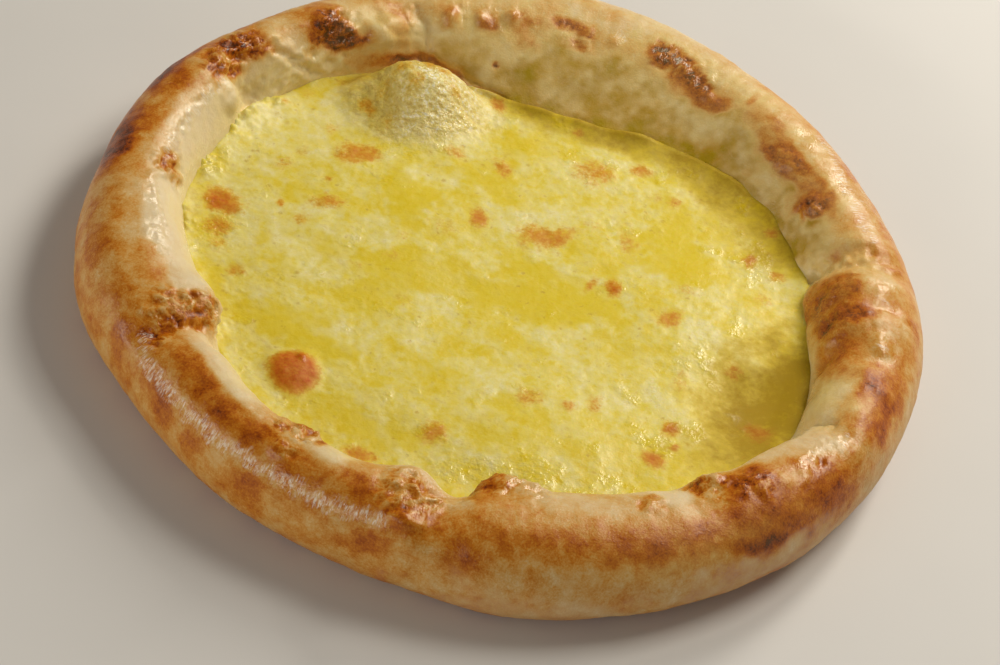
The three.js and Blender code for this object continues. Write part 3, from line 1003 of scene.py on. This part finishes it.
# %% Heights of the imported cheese
CAD_SHARES = np.array([1, 0.97, 0.92, 0.86, 0.79, 0.71, 0.62, 0.5, 0.35, 0.18, 0])
top_rings = np.concatenate([cheese_grid[..., 2], np.full((CAD_COLUMNS, 1), cheese_middle)], axis=1)
around = spline(top_rings, disc_azimuth / 360 * CAD_COLUMNS, closed=True)
share_place = np.interp(-inner_share, -CAD_SHARES, np.arange(len(CAD_SHARES)))
before = np.clip(np.floor(share_place).astype(int), 0, len(CAD_SHARES) - 2)
every = np.arange(len(share_place))
a, b, c, d = (around[every, np.clip(before + k, 0, len(CAD_SHARES) - 1)] for k in (-1, 0, 1, 2))
cheese_z = between(a, b, c, d, share_place - before)
print("cheese heights, mm:", cheese_z.min().round(1), "to", cheese_z.max().round(1))

# %% Helpers: areas and streaks on the cheese
flat_points = np.stack([CX, CY, np.zeros_like(CX)], axis=1)
bend_wide = [rough(flat_points, 13, 3, seed) for seed in (41, 42)]
bend_fine = [noise(flat_points, 3, seed) for seed in (43, 44)]


def spot(x, y, long, wide, turn=0, bend=0.18):
    """How far out of a spot each point lies: 0 in its middle, 1 on its outline, in a turned ellipse
    whose length and width are in mm, bent by noise."""
    dx = CX - x + bend * long * (bend_wide[0] + 0.4 * bend_fine[0])
    dy = CY - y + bend * wide * (bend_wide[1] + 0.4 * bend_fine[1])
    c, s = np.cos(np.radians(turn)), np.sin(np.radians(turn))
    return np.hypot((dx * c + dy * s) / (long / 2), (dy * c - dx * s) / (wide / 2))


def soft(away, softness=0.5):
    """1 inside an outline, 0 outside it, with a soft edge."""
    return 1 - ramp(away, 1 - softness, 1 + softness)


def blots(table, bend, softness):
    """The strongest at each point of a table of soft spots: x, y, length, width, turn, amount."""
    return strongest(table, lambda *area: soft(spot(*area, bend=bend), softness))


# %% [markdown]
# Curds and butter part along streaks, because the cheese was spread in one direction before it melted. The
# streaks are noise stretched along a diagonal and bent by slower noise, which gives wisps instead of round
# clouds. Large pools of butter and paler fields are then placed over them.

# %% Curds, butter and pools
STREAK_TURN = np.radians(-35)

along_streak = CX * np.cos(STREAK_TURN) + CY * np.sin(STREAK_TURN)
off_streak = CY * np.cos(STREAK_TURN) - CX * np.sin(STREAK_TURN)
streaked = np.stack([along_streak / 1.6 + 5 * bend_wide[0], off_streak + 5 * bend_wide[1], 0 * CX], axis=1)
curd = 0.5 + 0.8 * rough(streaked, 12, 4, 51) + 0.35 * rough(flat_points, 4, 2, 52)

# x, y, length, width, turn, amount: where butter lies yellow, and where the cheese is pale.
BUTTER_POOLS = [
    (-36, 26, 34, 14, 110, 0.9),
    (-8, -8, 92, 18, -3, 0.8),
    (52, 27, 34, 24, -40, 0.95),
    (18, 2, 44, 12, -25, 0.8),
    (5, -28, 18, 12, 0, 0.5),
    (-58, -46, 40, 18, -30, 0.8),
    (-30, -80, 30, 10, 0, 0.6),
    (-14, 42, 26, 14, -20, 0.6),
    (-40, -20, 26, 22, 0, 0.55),
    (0, 66, 26, 14, -30, 0.5),
    (-72, 18, 14, 10, 0, 0.5),
    (-90, -28, 20, 16, 0, 0.5),
    (20, -66, 50, 22, 0, 0.35),
]
CREAM_FIELDS = [
    (-66, 0, 34, 26, 0, 0.7),
    (-78, 44, 44, 22, 50, 0.6),
    (6, 30, 40, 14, -10, 0.7),
    (-6, 18, 26, 12, 0, 0.6),
    (62, -16, 40, 24, 0, 0.6),
    (26, 66, 36, 16, 0, 0.7),
    (-40, 50, 40, 14, 20, 0.7),
    (-14, 76, 24, 10, 0, 0.6),
    (20, -20, 24, 14, 0, 0.4),
    (-46, -36, 30, 16, 0, 0.4),
    (40, -42, 36, 16, 0, 0.4),
    (62, 62, 20, 12, -30, 0.6),
    (-90, 24, 20, 50, 0, 0.6),
    (-66, 62, 40, 20, 35, 0.5),
    (-88, -4, 14, 30, 0, 0.3),
    (-54, -18, 28, 20, 0, 0.7),
]

butter_pool = blots(BUTTER_POOLS, 0.3, 0.35)
for *area, amount in CREAM_FIELDS:
    curd = curd + 0.45 * amount * soft(spot(*area, bend=0.3), 0.5)
curd = np.clip(curd - 0.55 * butter_pool, 0, 1)
print("mean curd:", curd.mean().round(2), " mean butter:", butter_pool.mean().round(2))

# %% The pool on the right, partly painted shade, and the painted shade along the back wall
# x, y, length, width, turn, depth: pools of butter, which also paint the shade of the rim
# on the right and behind the mound.
POOLS_AND_SHADE = [
    (95, -32, 42, 72, -25, 1.0),
    (-60, 80, 18, 8, 40, 0.4),
    (-104, 0, 8, 60, 0, 0.15),
    (74, -60, 18, 6, 30, 0.3),
]

# Painted shade: the strip stands for the shade that the back rim casts on the cheese. It is 12 mm wide at the
# back and up to 26 mm wide at the back right, and fades from 3 mm outside the wall's line.
STRIP_FADE = 3
to_wall = np.clip(edge - reach, 0, None)
back_wall = ramp(disc_azimuth, 12, 24) * (1 - ramp(disc_azimuth, 100, 112))
strip_width = 12 + 14 * ramp(disc_azimuth, 10, 24) * (1 - ramp(disc_azimuth, 44, 58))
across_strip = (to_wall + 5 * bend_wide[0] + STRIP_FADE) / (strip_width + STRIP_FADE)
pool = np.maximum(blots(POOLS_AND_SHADE, 0.14, 0.7), 0.9 * back_wall * (1 - ramp(across_strip, 0, 1)))
print("mean pool:", pool.mean().round(2))

# %% Browned spots
# x, y, length, width, turn, brown.
SPOTS = [
    (-57.5, -63.5, 17.5, 19, 0, 1.0),
    (-95, 5, 11, 7, -10, 0.95),
    (-94, -7, 8, 6, 0, 0.6),
    (-92, -14, 5, 4, 0, 0.45),
    (-57, 42, 12, 6, 35, 0.7),
    (-63, 15, 9, 5, 15, 0.6),
    (-69, 5, 5, 4, 0, 0.45),
    (-81, 29, 6, 5, 0, 0.35),
    (-69, 51, 5, 5, 0, 0.35),
    (-75, 36, 4, 4, 0, 0.3),
    (-84, -24, 5, 4, 0, 0.5),
    (-79, 66, 4, 4, 0, 0.3),
    (-68, 76, 5, 4, 0, 0.4),
    (-58, 64, 6, 3, -40, 0.6),
    (-13, 24, 5, 5, 0, 0.8),
    (11, 22, 17, 6, 30, 0.65),
    (22, 58, 11, 8, -10, 0.6),
    (36, 64, 7, 4, 20, 0.65),
    (50, 51, 4, 4, 0, 0.5),
    (44, 53, 5, 3, 0, 0.3),
    (-9, 51, 6, 6, 0, 0.6),
    (-25, 53, 6, 4, 20, 0.5),
    (34, 4, 5, 6, 0, 0.85),
    (27, 4, 3, 5, -20, 0.6),
    (54, -4, 8, 5, 25, 0.7),
    (77, 32, 5, 5, 0, 0.65),
    (87, 26, 5, 4, 0, 0.55),
    (83, 14, 5, 4, 0, 0.35),
    (37, 28, 6, 9, 10, 0.4),
    (24, 32, 6, 4, 0, 0.3),
    (57, 10, 7, 4, 0, 0.35),
    (15, -52, 7, 5, 10, 0.5),
    (35, -49, 5, 6, 0, 0.5),
    (27, -53, 4, 3, 0, 0.6),
    (60, -52, 5, 4, 0, 0.8),
    (56, -67, 6, 5, 0, 0.8),
    (62, -60, 2.5, 2.5, 0, 0.7),
    (87, -45, 6, 6, 30, 0.6),
    (-12, -75, 8, 6, 0, 0.65),
    (-32, -91, 8, 4, 0, 0.7),
    (77, -21, 5, 5, 0, 0.5),
    (61, -32, 4, 6, 0, 0.35),
    (-23, 16, 7, 6, 0, 0.3),
    (-37, -3, 5, 4, 0, 0.3),
    (-47, -12, 5, 3, 0, 0.3),
    (-15, 82, 5, 4, 0, 0.65),
    (84, 46, 5, 3, 0, 0.6),
    (13, 76, 3, 3, 0, 0.5),
    (-40, 84, 9, 5, 10, 0.6),
    (-49, 78, 6, 5, 0, 0.45),
    (-44, 71, 5, 5, 0, 0.45),
    (-35, 80, 5, 4, 0, 0.5),
    (-53, 70, 5, 5, 0, 0.35),
    (-50, 60, 4, 4, 0, 0.4),
    (-30, 73, 4, 4, 0, 0.4),
    (-36, 7, 5, 4, 0, 0.25),
    (-30, -22, 6, 4, 0, 0.25),
    (-64, 26, 2, 2, 0, 0.6),
    (-77, 10, 2.5, 2.5, 0, 0.7),
    (-85, 59, 2.5, 2.5, 0, 0.5),
]

# The one wide blister has a clear outline; a small spot is ragged and fades out past its size.
WIDE_SPOT = 14
brown = np.zeros(len(CX))
blister = np.zeros(len(CX))
for x, y, long, wide, turn, amount in SPOTS:
    if wide > WIDE_SPOT:
        away = spot(x, y, long, wide, turn, bend=0.05)
        browned = 1 - ramp(away, 0.6, 1.25)
    else:
        away = spot(x, y, 1.1 * long, 1.45 * wide, turn, bend=0.25)
        browned = 1 - ramp(away, 0.2, 1.9)
    brown = np.maximum(brown, amount * browned)
    blister = np.maximum(blister, amount * np.clip(1 - (away / 1.2) ** 2, 0, 1) * min(1, wide / 10))
print("browned share of the cheese:", (brown > 0.4).mean().round(3))

# %% Wet, glassy places
# x, y, length, width, turn, amount: where small curds shine under clear butter.
WET_PLACES = [
    (-32, 66, 34, 16, -60, 1.0),
    (-42, 82, 20, 10, 0, 0.8),
    (-101, 14, 10, 46, 0, 0.6),
    (-92, -8, 16, 16, 0, 0.9),
    (-56, -58, 5, 5, 0, 1.0),
    (67, -15, 8, 20, 10, 0.8),
    (64, -52, 30, 10, 35, 0.8),
    (20, -86, 70, 12, 8, 0.9),
    (-2, -92, 16, 8, 0, 1.0),
    (34, 4, 12, 10, 0, 0.7),
    (80, 34, 12, 30, 20, 0.8),
    (26, 64, 40, 10, 0, 0.5),
    (-13, 24, 8, 8, 0, 0.7),
    (-46, 48, 16, 12, 0, 0.6),
]

wetness = blots(WET_PLACES, 0.3, 0.6)
print("mean wetness:", wetness.mean().round(2))

# %% Relief of the cheese
MOUND = (-42, 73, 44, 38, 15)
BLISTER_BUBBLE = (-56, -57.5, 3, 3, 0)

mound = soft(spot(*MOUND, bend=0.1), 0.45)
still = np.clip(1 - 0.85 * pool - 0.5 * butter_pool, 0.1, 1)
curd_grain = cells(flat_points, 2.3, 61)
raised_points = np.stack([CX, CY, cheese_z], axis=1)
mound_grain = cells(raised_points, 1.9, 63)

bumps = 0.4 * rough(flat_points, 15, 3, 64) + 0.1 * noise(flat_points, 3.2, 65)
bumps = bumps + 0.14 * curd_grain * ramp(curd, 0.2, 0.7)
cheese_z = cheese_z + still * bumps + mound * (0.35 * mound_grain + 0.5 * rough(raised_points, 6, 3, 66))
cheese_z = cheese_z + 0.3 * blister + 0.1 * brown * curd_grain
cheese_z = cheese_z + 0.7 * soft(spot(*BLISTER_BUBBLE, bend=0), 0.5)
print("cheese with its curds, mm:", cheese_z.min().round(1), "to", cheese_z.max().round(1))

# %% The melted edge
# It climbs the wall, most at the back and on the left, where it sets in small beads.
left_wall = ramp(disc_azimuth, 128, 150) * (1 - ramp(disc_azimuth, 205, 222))
climb = 0.7 + 0.9 * back_wall + 1.5 * noise(flat_points, 14, 67)
climb = climb + left_wall * (0.8 + 0.9 * noise(flat_points, 7, 68))
beads = 1.8 * left_wall * np.exp(-to_wall / 3.5) * curd_grain * ramp(noise(flat_points, 11, 69), -0.1, 0.4)
cheese_z = cheese_z + np.exp(-to_wall / 2.6) * np.clip(climb, 0, None) + beads

# Past the line it has to end under the skin of the bread, whose height is looked up by azimuth and reach,
# from the cheese line outwards.
WALL_ROWS = 15
WALL_STEP = 0.25
UNDER_SKIN = 0.4
wall_rows = skin[:, : -WALL_ROWS - 1 : -1]
wall_reach = np.arange(0, EDGE_INTO_BREAD + 2 * WALL_STEP, WALL_STEP)
wall_radius = np.maximum.accumulate(radius_of(wall_rows), axis=1)
wall = np.array([np.interp(r[0] + wall_reach, r, z) for r, z in zip(wall_radius, wall_rows[..., 2])])
past_line = np.clip(reach - edge, 0, EDGE_INTO_BREAD)
column = np.round(disc_azimuth / 360 * BREAD_COLUMNS).astype(int) % BREAD_COLUMNS
before = (past_line / WALL_STEP).astype(int)
t = past_line / WALL_STEP - before
wall_here = wall[column, before] * (1 - t) + wall[column, before + 1] * t
tuck = ramp(past_line, 0.4 * EDGE_INTO_BREAD, EDGE_INTO_BREAD)
cheese_z = cheese_z + tuck * (np.minimum(cheese_z, wall_here - UNDER_SKIN) - cheese_z)
print("finished cheese, mm:", cheese_z.min().round(1), "to", cheese_z.max().round(1))

# %% Build the cheese
corner = np.arange(CHEESE_SIDE * CHEESE_SIDE).reshape(CHEESE_SIDE, CHEESE_SIDE)
quads = np.stack([corner[:-1, :-1], corner[1:, :-1], corner[1:, 1:], corner[:-1, 1:]], axis=-1).reshape(-1, 4)
boundary = np.concatenate([corner[:-1, 0], corner[-1, :-1], corner[:0:-1, -1], corner[0, :0:-1]])

CHEESE_BOTTOM = 6.5
SKIRT_SHARE = 0.97
top_points = np.stack([CX, CY, cheese_z], axis=1)
skirt = top_points[boundary] * (SKIRT_SHARE, SKIRT_SHARE, 0) + (0, 0, CHEESE_BOTTOM)
base = len(top_points)
below = base + np.arange(len(boundary))
beside_below = np.roll(below, -1)
skirt_quads = np.stack([boundary, below, beside_below, np.roll(boundary, -1)], axis=-1)
pole = np.full(len(boundary), base + len(boundary))
bottom_triangles = np.stack([below, pole, beside_below], axis=-1)
points = np.concatenate([top_points, skirt, [(0, 0, CHEESE_BOTTOM)]]) * MM
cheese = mesh_from("melted_cheese", points, np.concatenate([quads, skirt_quads]), bottom_triangles)


def over_cheese(field):
    """A field of the top stretched over the skirt and the bottom."""
    return np.concatenate([field, field[boundary], [0]])


# Painted light: the mound's side towards the right is painted paler, with white grains as glints, as its lit
# side.
flank = mound * ramp(CX + 6 * bend_wide[0], -54, -36)  # the mound's bright side, towards the right
for name, field in (
    ("curd", curd),
    ("butter", butter_pool),
    ("pool", pool),
    ("brown", np.clip(brown, 0, 1)),
    ("mound", mound),
    ("flank", flank),
    ("wetness", wetness),
):
    paint(cheese, name, over_cheese(field))
print("cheese:", len(cheese.data.vertices), "points,", len(cheese.data.polygons), "faces")

# %% [markdown]
# ## Materials
#
# The materials are node trees written as sums. A wire stands for a socket: adding or multiplying wires adds
# Math nodes, so the formula can be read as it would be on paper. Colours are mixed with Mix nodes. The
# numbers stored on the points say what is where at the scale of a millimetre or two; noise in the material
# adds what is finer than that.

# %% Wires


class Wire:
    """A socket of a node tree. Sums with wires or numbers add Math nodes, and node() adds any other."""

    def __init__(self, tree, socket=None):
        self.tree = tree
        self.socket = socket

    def node(self, kind, settings=None, inputs=None, output=0):
        """Adds a node: its type, its settings, its inputs by name or number, and the output to wire on."""
        made = self.tree.nodes.new(kind)
        for key, value in (settings or {}).items():
            if key == "stops":
                set_stops(made.color_ramp, value)
            else:
                setattr(made, key, value)
        for key, value in (inputs or {}).items():
            socket = find_socket(made.inputs, key)
            if isinstance(value, Wire):
                self.tree.links.new(value.socket, socket)
            else:
                socket.default_value = value
        return Wire(self.tree, find_socket(made.outputs, output) if made.outputs else None)

    def math(self, operation, a, b):
        """Adds a Math node on two wires or numbers."""
        return self.node("ShaderNodeMath", {"operation": operation}, {0: a, 1: b})

    def __add__(self, other):
        return self.math("ADD", self, other)

    def __sub__(self, other):
        return self.math("SUBTRACT", self, other)

    def __mul__(self, other):
        return self.math("MULTIPLY", self, other)

    def __rsub__(self, other):
        return self.math("SUBTRACT", other, self)

    __radd__ = __add__
    __rmul__ = __mul__

    def smooth(self, start, end):
        """0 below start, 1 above end, a smooth step between."""
        names = {"Value": self, "From Min": start, "From Max": end}
        return self.node("ShaderNodeMapRange", {"interpolation_type": "SMOOTHSTEP"}, names)

    def ridge(self, width):
        """1 where the value is 0.5, falling to 0 at a width on both sides."""
        away = self.math("ABSOLUTE", self - 0.5, 0.0)
        return (1 - away * (1 / width)).clamp()

    def clamp(self):
        """The value held between 0 and 1."""
        return self.node("ShaderNodeClamp", None, {"Value": self})


def find_socket(sockets, key):
    """A socket by its number, by its identifier or by its name."""
    if isinstance(key, int):
        return sockets[key]
    return next((s for s in sockets if s.identifier == key), None) or sockets[key]


def set_stops(ramp_data, stops):
    """Fills a colour ramp with stops: a position from 0 to 1, then red, green and blue as on a screen."""
    while len(ramp_data.elements) < len(stops):
        ramp_data.elements.new(0.5)
    for element, (position, *colour) in zip(ramp_data.elements, stops):
        element.position = position
        element.color = srgb(*colour)


# %% Helpers: colours, attributes and patterns


def srgb(red, green, blue):
    """A colour given as 0 to 255 on a screen, as the linear numbers that a shader takes."""
    c = np.array([red, green, blue]) / 255
    linear = np.where(c <= 0.04045, c / 12.92, ((c + 0.055) / 1.055) ** 2.4)
    return (*linear, 1.0)


def attribute(start, name, output="Fac"):
    """A number painted on the points, or a vector from the output of that name."""
    return start.node("ShaderNodeAttribute", {"attribute_name": name}, output=output)


def grain(start, size, detail=2, roughness=0.5, place=None):
    """Shader noise about 0.5, with cells of a size in mm, on Object coordinates or on a place given."""
    place = place or start.node("ShaderNodeTexCoord", output="Object")
    inputs = {"Vector": place, "Scale": 1 / (size * MM), "Detail": detail, "Roughness": roughness}
    return start.node("ShaderNodeTexNoise", None, inputs, output="Fac")


def scatter(start, size, near, far, keep):
    """Round dots, one in each random cell of a size in mm: 1 nearer than near, 0 past far, in cell sizes.
    Only cells whose random number is over keep have one."""
    place = start.node("ShaderNodeTexCoord", output="Object")
    inputs = {"Vector": place, "Scale": 1 / (size * MM)}
    distance = start.node("ShaderNodeTexVoronoi", None, inputs, "Distance")
    chance = Wire(start.tree, distance.socket.node.outputs["Color"])
    return (1 - distance.smooth(near, far)) * chance.smooth(keep, keep + 0.05)


def mix(first, second, amount):
    """A colour part of the way from the first to the second by a wire; either colour may be a wire."""
    inputs = {"A_Color": first, "B_Color": second, "Factor_Float": amount}
    return amount.node("ShaderNodeMix", {"data_type": "RGBA"}, inputs, "Result_Color")


def gradient(share, stops):
    """The colour at a share, 0 to 1, of a row of stops."""
    return share.node("ShaderNodeValToRGB", {"stops": stops}, {"Fac": share.clamp()}, "Color")


def new_material(name):
    """An empty material, with a wire to start its tree from."""
    material = bpy.data.materials.new(name)
    material.use_nodes = True
    material.node_tree.nodes.clear()
    return material, Wire(material.node_tree)


def finish_surface(start, inputs, height=None):
    """Adds the shader with its inputs, bumped by a height in mm if there is one, and the output node."""
    if height:
        relief_inputs = {"Strength": 0.9, "Distance": MM, "Height": height}
        inputs = {**inputs, "Normal": start.node("ShaderNodeBump", None, relief_inputs, "Normal")}
    shader = start.node("ShaderNodeBsdfPrincipled", None, inputs)
    start.node("ShaderNodeOutputMaterial", None, {"Surface": shader})


print("golden crust, linear:", np.round(srgb(205, 145, 80), 3))

# %% [markdown]
# ## Crust
#
# Baked dough goes from cream through gold and chestnut to black, and the steps are never even. The bake
# painted on the points is broken up by four sizes of noise before a colour ramp turns it into a colour. In
# the crackled skin the raised fold lines are painted paler, as painted light. The film of cheese and butter
# is laid over that, straw yellow where it is thin and olive where it is thick, and darker towards the foot
# of the far wall, which is painted shade. Then come the flour and the painted highlights: pale streaks that
# run across the rim where its skin glints. Brushed butter has no colour to speak of: it only makes the skin
# smoother, and the fine bumps there break its reflections into sparks.

# %% Crust material
crust_material, start = new_material("baked_crust")

bake_value = attribute(start, "bake")
film_and_shade_value = attribute(start, "film")
butter_value = attribute(start, "butter")
flour_value = attribute(start, "flour")
crackle_value = attribute(start, "crackle")

pore = grain(start, 0.6, 2, 0.6)
speckle = grain(start, 1.2, 3, 0.65)
mottle = grain(start, 3, 3, 0.55)
cloud = grain(start, 8, 3, 0.55)
fold = grain(start, 3.2, 3, 0.6).ridge(0.1)
uneven = (speckle - 0.5) * 0.36 + (mottle - 0.5) * 0.34 + (cloud - 0.5) * 0.6 + (pore - 0.5) * 0.26
tone = bake_value * 0.94 + uneven * (bake_value.smooth(0.05, 0.5) * 0.7 + 0.3)
# Painted light: in the crackled skin the raised fold lines are painted paler and the skin between them darker.
tone = tone - crackle_value * (fold - 0.35) * bake_value.smooth(0.3, 0.7) * 0.3

BAKE_STOPS = [
    (0.0, 232, 212, 172),
    (0.15, 223, 194, 144),
    (0.3, 214, 172, 106),
    (0.45, 208, 150, 68),
    (0.6, 196, 120, 24),
    (0.72, 180, 96, 4),
    (0.84, 156, 72, 0),
    (0.93, 124, 52, 0),
    (1.0, 84, 34, 2),
]
baked = gradient(tone, BAKE_STOPS)
print("crust so far:", len(crust_material.node_tree.nodes), "nodes")

# %% Film with painted shade, flour and painted highlights over the crust
# The darker straw and the olive of a thick film also paint the shade at the foot of the far wall.
PALE_STRAW, DARK_STRAW_AND_SHADE, OLIVE_AND_SHADE = srgb(238, 220, 146), srgb(188, 154, 58), srgb(172, 143, 10)
# Painted highlight: the very pale cream on the next line, after the flour, is laid in streaks where the skin
# glints.
FLOUR, PAINTED_HIGHLIGHT_COLOUR = srgb(226, 206, 178), srgb(246, 234, 212)

thin_film = mix(PALE_STRAW, DARK_STRAW_AND_SHADE, film_and_shade_value.smooth(0.4, 0.75))
thick_and_shaded_share = (film_and_shade_value + (cloud - 0.5) * 0.5 + (speckle - 0.5) * 0.2).smooth(0.66, 0.98)
film_and_shade_tone = mix(thin_film, OLIVE_AND_SHADE, thick_and_shaded_share)
filmed_and_shaded = mix(baked, film_and_shade_tone, (film_and_shade_value * (mottle * 0.8 + 0.65)).clamp() * 0.95)
floured = mix(filmed_and_shaded, FLOUR, (flour_value * (speckle + 0.4)).smooth(0.1, 0.9) * 0.7)

# Painted highlights: pale streaks across the rim, on the near shoulder and along the crest, where the skin
# glints.
streaks = grain(start, 0.65, 3, 0.7, attribute(start, "unrolled", "Vector"))
painted_highlight = (attribute(start, "flakes") + (mottle - 0.5) * 0.8).smooth(0.35, 0.9) * streaks.smooth(0.44, 0.62)
crust_colour = mix(floured, PAINTED_HIGHLIGHT_COLOUR, painted_highlight * (speckle.smooth(0.35, 0.6) * 0.5 + 0.25))
print("with its colour:", len(crust_material.node_tree.nodes), "nodes")

# %% Bumps and gloss of the crust
height = pore * 0.05 + speckle * 0.14 + mottle * 0.12
height = height + crackle_value.smooth(0.5, 0.8) * fold * 0.2
height = height + crackle_value * grain(start, 1.0, 2, 0.5) * 0.06
height = height + crackle_value * streaks * 0.18
wet = (butter_value + (mottle - 0.5) * 0.6).clamp()
crust_finish = {
    "Base Color": crust_colour,
    "Roughness": 0.5 - wet * 0.3 - crackle_value * 0.14 + flour_value * 0.4,
    "Specular IOR Level": 0.4,
    "Specular Tint": (1.0, 0.94, 0.82, 1.0),
    "Subsurface Weight": 0.08,
    "Subsurface Radius": (1.0, 0.5, 0.2),
    "Subsurface Scale": 2 * MM,
}
finish_surface(start, crust_finish, height)
print("crust material:", len(crust_material.node_tree.nodes), "nodes")

# %% [markdown]
# ## Cheese
#
# The cheese is seen through a thin layer of clear butter fat. Curds scatter the light and look cream; where
# they part, the butter's yellow shows, and in the still pool it turns olive. The pool on the right and the
# strip along the back wall are also painted shade, dark olive where the rim shades the cheese. The mound
# stands out of the fat, so it is coarser; its side towards the right is painted paler, with white grains
# painted on as glints, and the rest of it darker, as painted light and shade. Light enters the cheese and
# comes out again, so it has a little subsurface scattering, which takes the hardness off the small bumps.
# Spots that browned go through orange to red brown in their middle.

# %% Cheese material
cheese_material, start = new_material("melted_cheese")

curd_value = attribute(start, "curd")
butter_value = attribute(start, "butter")
pool_and_shade_value = attribute(start, "pool")
brown_value = attribute(start, "brown")
mound_value = attribute(start, "mound")
painted_light_flank_value = attribute(start, "flank")
wetness_value = attribute(start, "wetness")

speckle = grain(start, 1.5, 3, 0.6)
cloud = grain(start, 7, 6, 0.7)
small = grain(start, 2.2, 4, 0.65)

CREAM_STOPS = [
    (0.0, 225, 198, 46),
    (0.3, 228, 206, 78),
    (0.6, 231, 214, 114),
    (0.85, 233, 219, 138),
    (1.0, 239, 229, 168),
]
body = gradient(curd_value * 0.65 + 0.16 + (cloud - 0.5) * 1.4 + (small - 0.5) * 1.3, CREAM_STOPS)
print("cheese so far:", len(cheese_material.node_tree.nodes), "nodes")

# %% Butter, pools with painted shade, and the mound with painted light
# The two darker colours paint the still pool and, with it, the shade of the rim on the cheese.
BUTTER, DEEP_BUTTER_AND_SHADE, DARK_OLIVE_AND_SHADE = srgb(226, 199, 22), srgb(206, 176, 10), srgb(160, 126, 2)
# Painted light and shade on the mound: a darker colour for all of it, a paler one and white glints for its
# side towards the right.
MOUND_PAINTED_SHADE, MOUND_PAINTED_LIGHT = srgb(216, 188, 92), srgb(236, 220, 150)
MOUND_PAINTED_GLINT, MOUND_PIT = srgb(252, 244, 218), srgb(194, 156, 60)

butter_share = (butter_value * 0.62 + (cloud - 0.5) * 1.1 + (small - 0.5) * 1.3).smooth(0.0, 1.0)
buttered = mix(body, BUTTER, butter_share * 0.8)
# Painted shade: the pool and the strip by the back wall turn the cheese deeper yellow and dark olive where the
# rim shades it.
pool_and_shade_share = (pool_and_shade_value + (cloud - 0.5) * 0.8 + (small - 0.5) * 0.7).clamp()
pooled_and_shaded = mix(buttered, DEEP_BUTTER_AND_SHADE, pool_and_shade_share.smooth(0.0, 0.45) * 0.85)
pooled_and_shaded = mix(pooled_and_shaded, DARK_OLIVE_AND_SHADE, pool_and_shade_share.smooth(0.3, 1.1) * 0.9)
# Painted light and shade: the mound darker, its right side paler and glinting.
on_mound = mix(pooled_and_shaded, MOUND_PAINTED_SHADE, mound_value * 0.75)
on_mound = mix(on_mound, MOUND_PAINTED_LIGHT, painted_light_flank_value * (small.smooth(0.35, 0.6) * 0.5 + 0.5))
on_mound = mix(on_mound, MOUND_PAINTED_GLINT, painted_light_flank_value * speckle.smooth(0.52, 0.64) * 0.8)
on_mound = mix(on_mound, MOUND_PIT, mound_value * (1 - speckle).smooth(0.52, 0.62) * 0.5)
print("with butter, pools and the mound:", len(cheese_material.node_tree.nodes), "nodes")

# %% Ochre dots and browned spots
OCHRE, SOAKED_AND_SHADED_BROWN = srgb(190, 152, 36), srgb(150, 88, 10)
SPOT_STOPS = [
    (0.0, 224, 196, 70),
    (0.25, 222, 183, 50),
    (0.5, 214, 156, 36),
    (0.75, 206, 126, 12),
    (1.0, 198, 93, 0),
]

ochre = scatter(start, 5, 0.04, 0.25, 0.85) + scatter(start, 3, 0.1, 0.4, 0.6) * small.smooth(0.5, 0.62)
dotted = mix(on_mound, OCHRE, ochre.clamp() * 0.6)
brown_tone = brown_value * 0.88 + (grain(start, 1.0, 2, 0.6) - 0.5) * 0.5 + (small - 0.5) * 0.6
# Painted shade: spots in the pool and in the rim's shade are mixed towards a darker brown.
spot_colour = mix(gradient(brown_tone, SPOT_STOPS), SOAKED_AND_SHADED_BROWN, pool_and_shade_share * 0.7)
cheese_colour = mix(dotted, spot_colour, brown_tone.smooth(0.04, 0.55))
print("with its colour:", len(cheese_material.node_tree.nodes), "nodes")

# %% Bumps and gloss of the cheese
# Wet clusters of small beads glitter; the pools lie smooth; the mound is coarse.
clusters = (grain(start, 9, 3, 0.5) + wetness_value * 0.25 - 0.1).smooth(0.5, 0.64)
glassy = scatter(start, 2.6, 0.0, 0.55, 0.4) * clusters
rough_share = 1 - pool_and_shade_value * 0.7 - butter_share * 0.3
height = (grain(start, 0.8, 2, 0.6) * 0.05 + grain(start, 2.0, 3, 0.55) * 0.2) * rough_share + glassy * 0.12
height = height + clusters * grain(start, 1.6, 2, 0.5) * 0.36
height = height + mound_value * (grain(start, 3.4, 4, 0.6) * 1.3 + grain(start, 1.2, 2, 0.5) * 0.2)
roughness = 0.42 - butter_value * 0.08 - clusters * 0.24 + (small - 0.5) * 0.3
cheese_finish = {
    "Base Color": cheese_colour,
    "Roughness": roughness + pool_and_shade_share * 0.35 + brown_value * 0.2,
    "Specular IOR Level": 0.32,
    "Specular Tint": (1.0, 0.96, 0.86, 1.0),
    "Subsurface Weight": 0.25,
    "Subsurface Radius": (1.0, 0.75, 0.25),
    "Subsurface Scale": 3 * MM,
}
finish_surface(start, cheese_finish, height)
print("cheese material:", len(cheese_material.node_tree.nodes), "nodes")

# %% Floor material
floor_material, start = new_material("pale_table")
tint = mix(srgb(218, 214, 207), srgb(212, 208, 201), grain(start, 60, 2, 0.5))
finish_surface(start, {"Base Color": tint, "Roughness": 0.6})
floor_mesh.materials.append(floor_material)
print("floor material:", len(floor_material.node_tree.nodes), "nodes")

# %% [markdown]
# ## Fitting the looks to the part
#
# Both new pieces ride on the part's one body and stand for its two solids, which stay for the physics.

# %% Ride, replace and finish
for piece, node, material, slot in (
    (bread, "bread", crust_material, "crust"),
    (cheese, "cheese", cheese_material, "cheese"),
):
    piece.data.materials.append(material)
    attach(piece, "root")
    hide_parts(node)
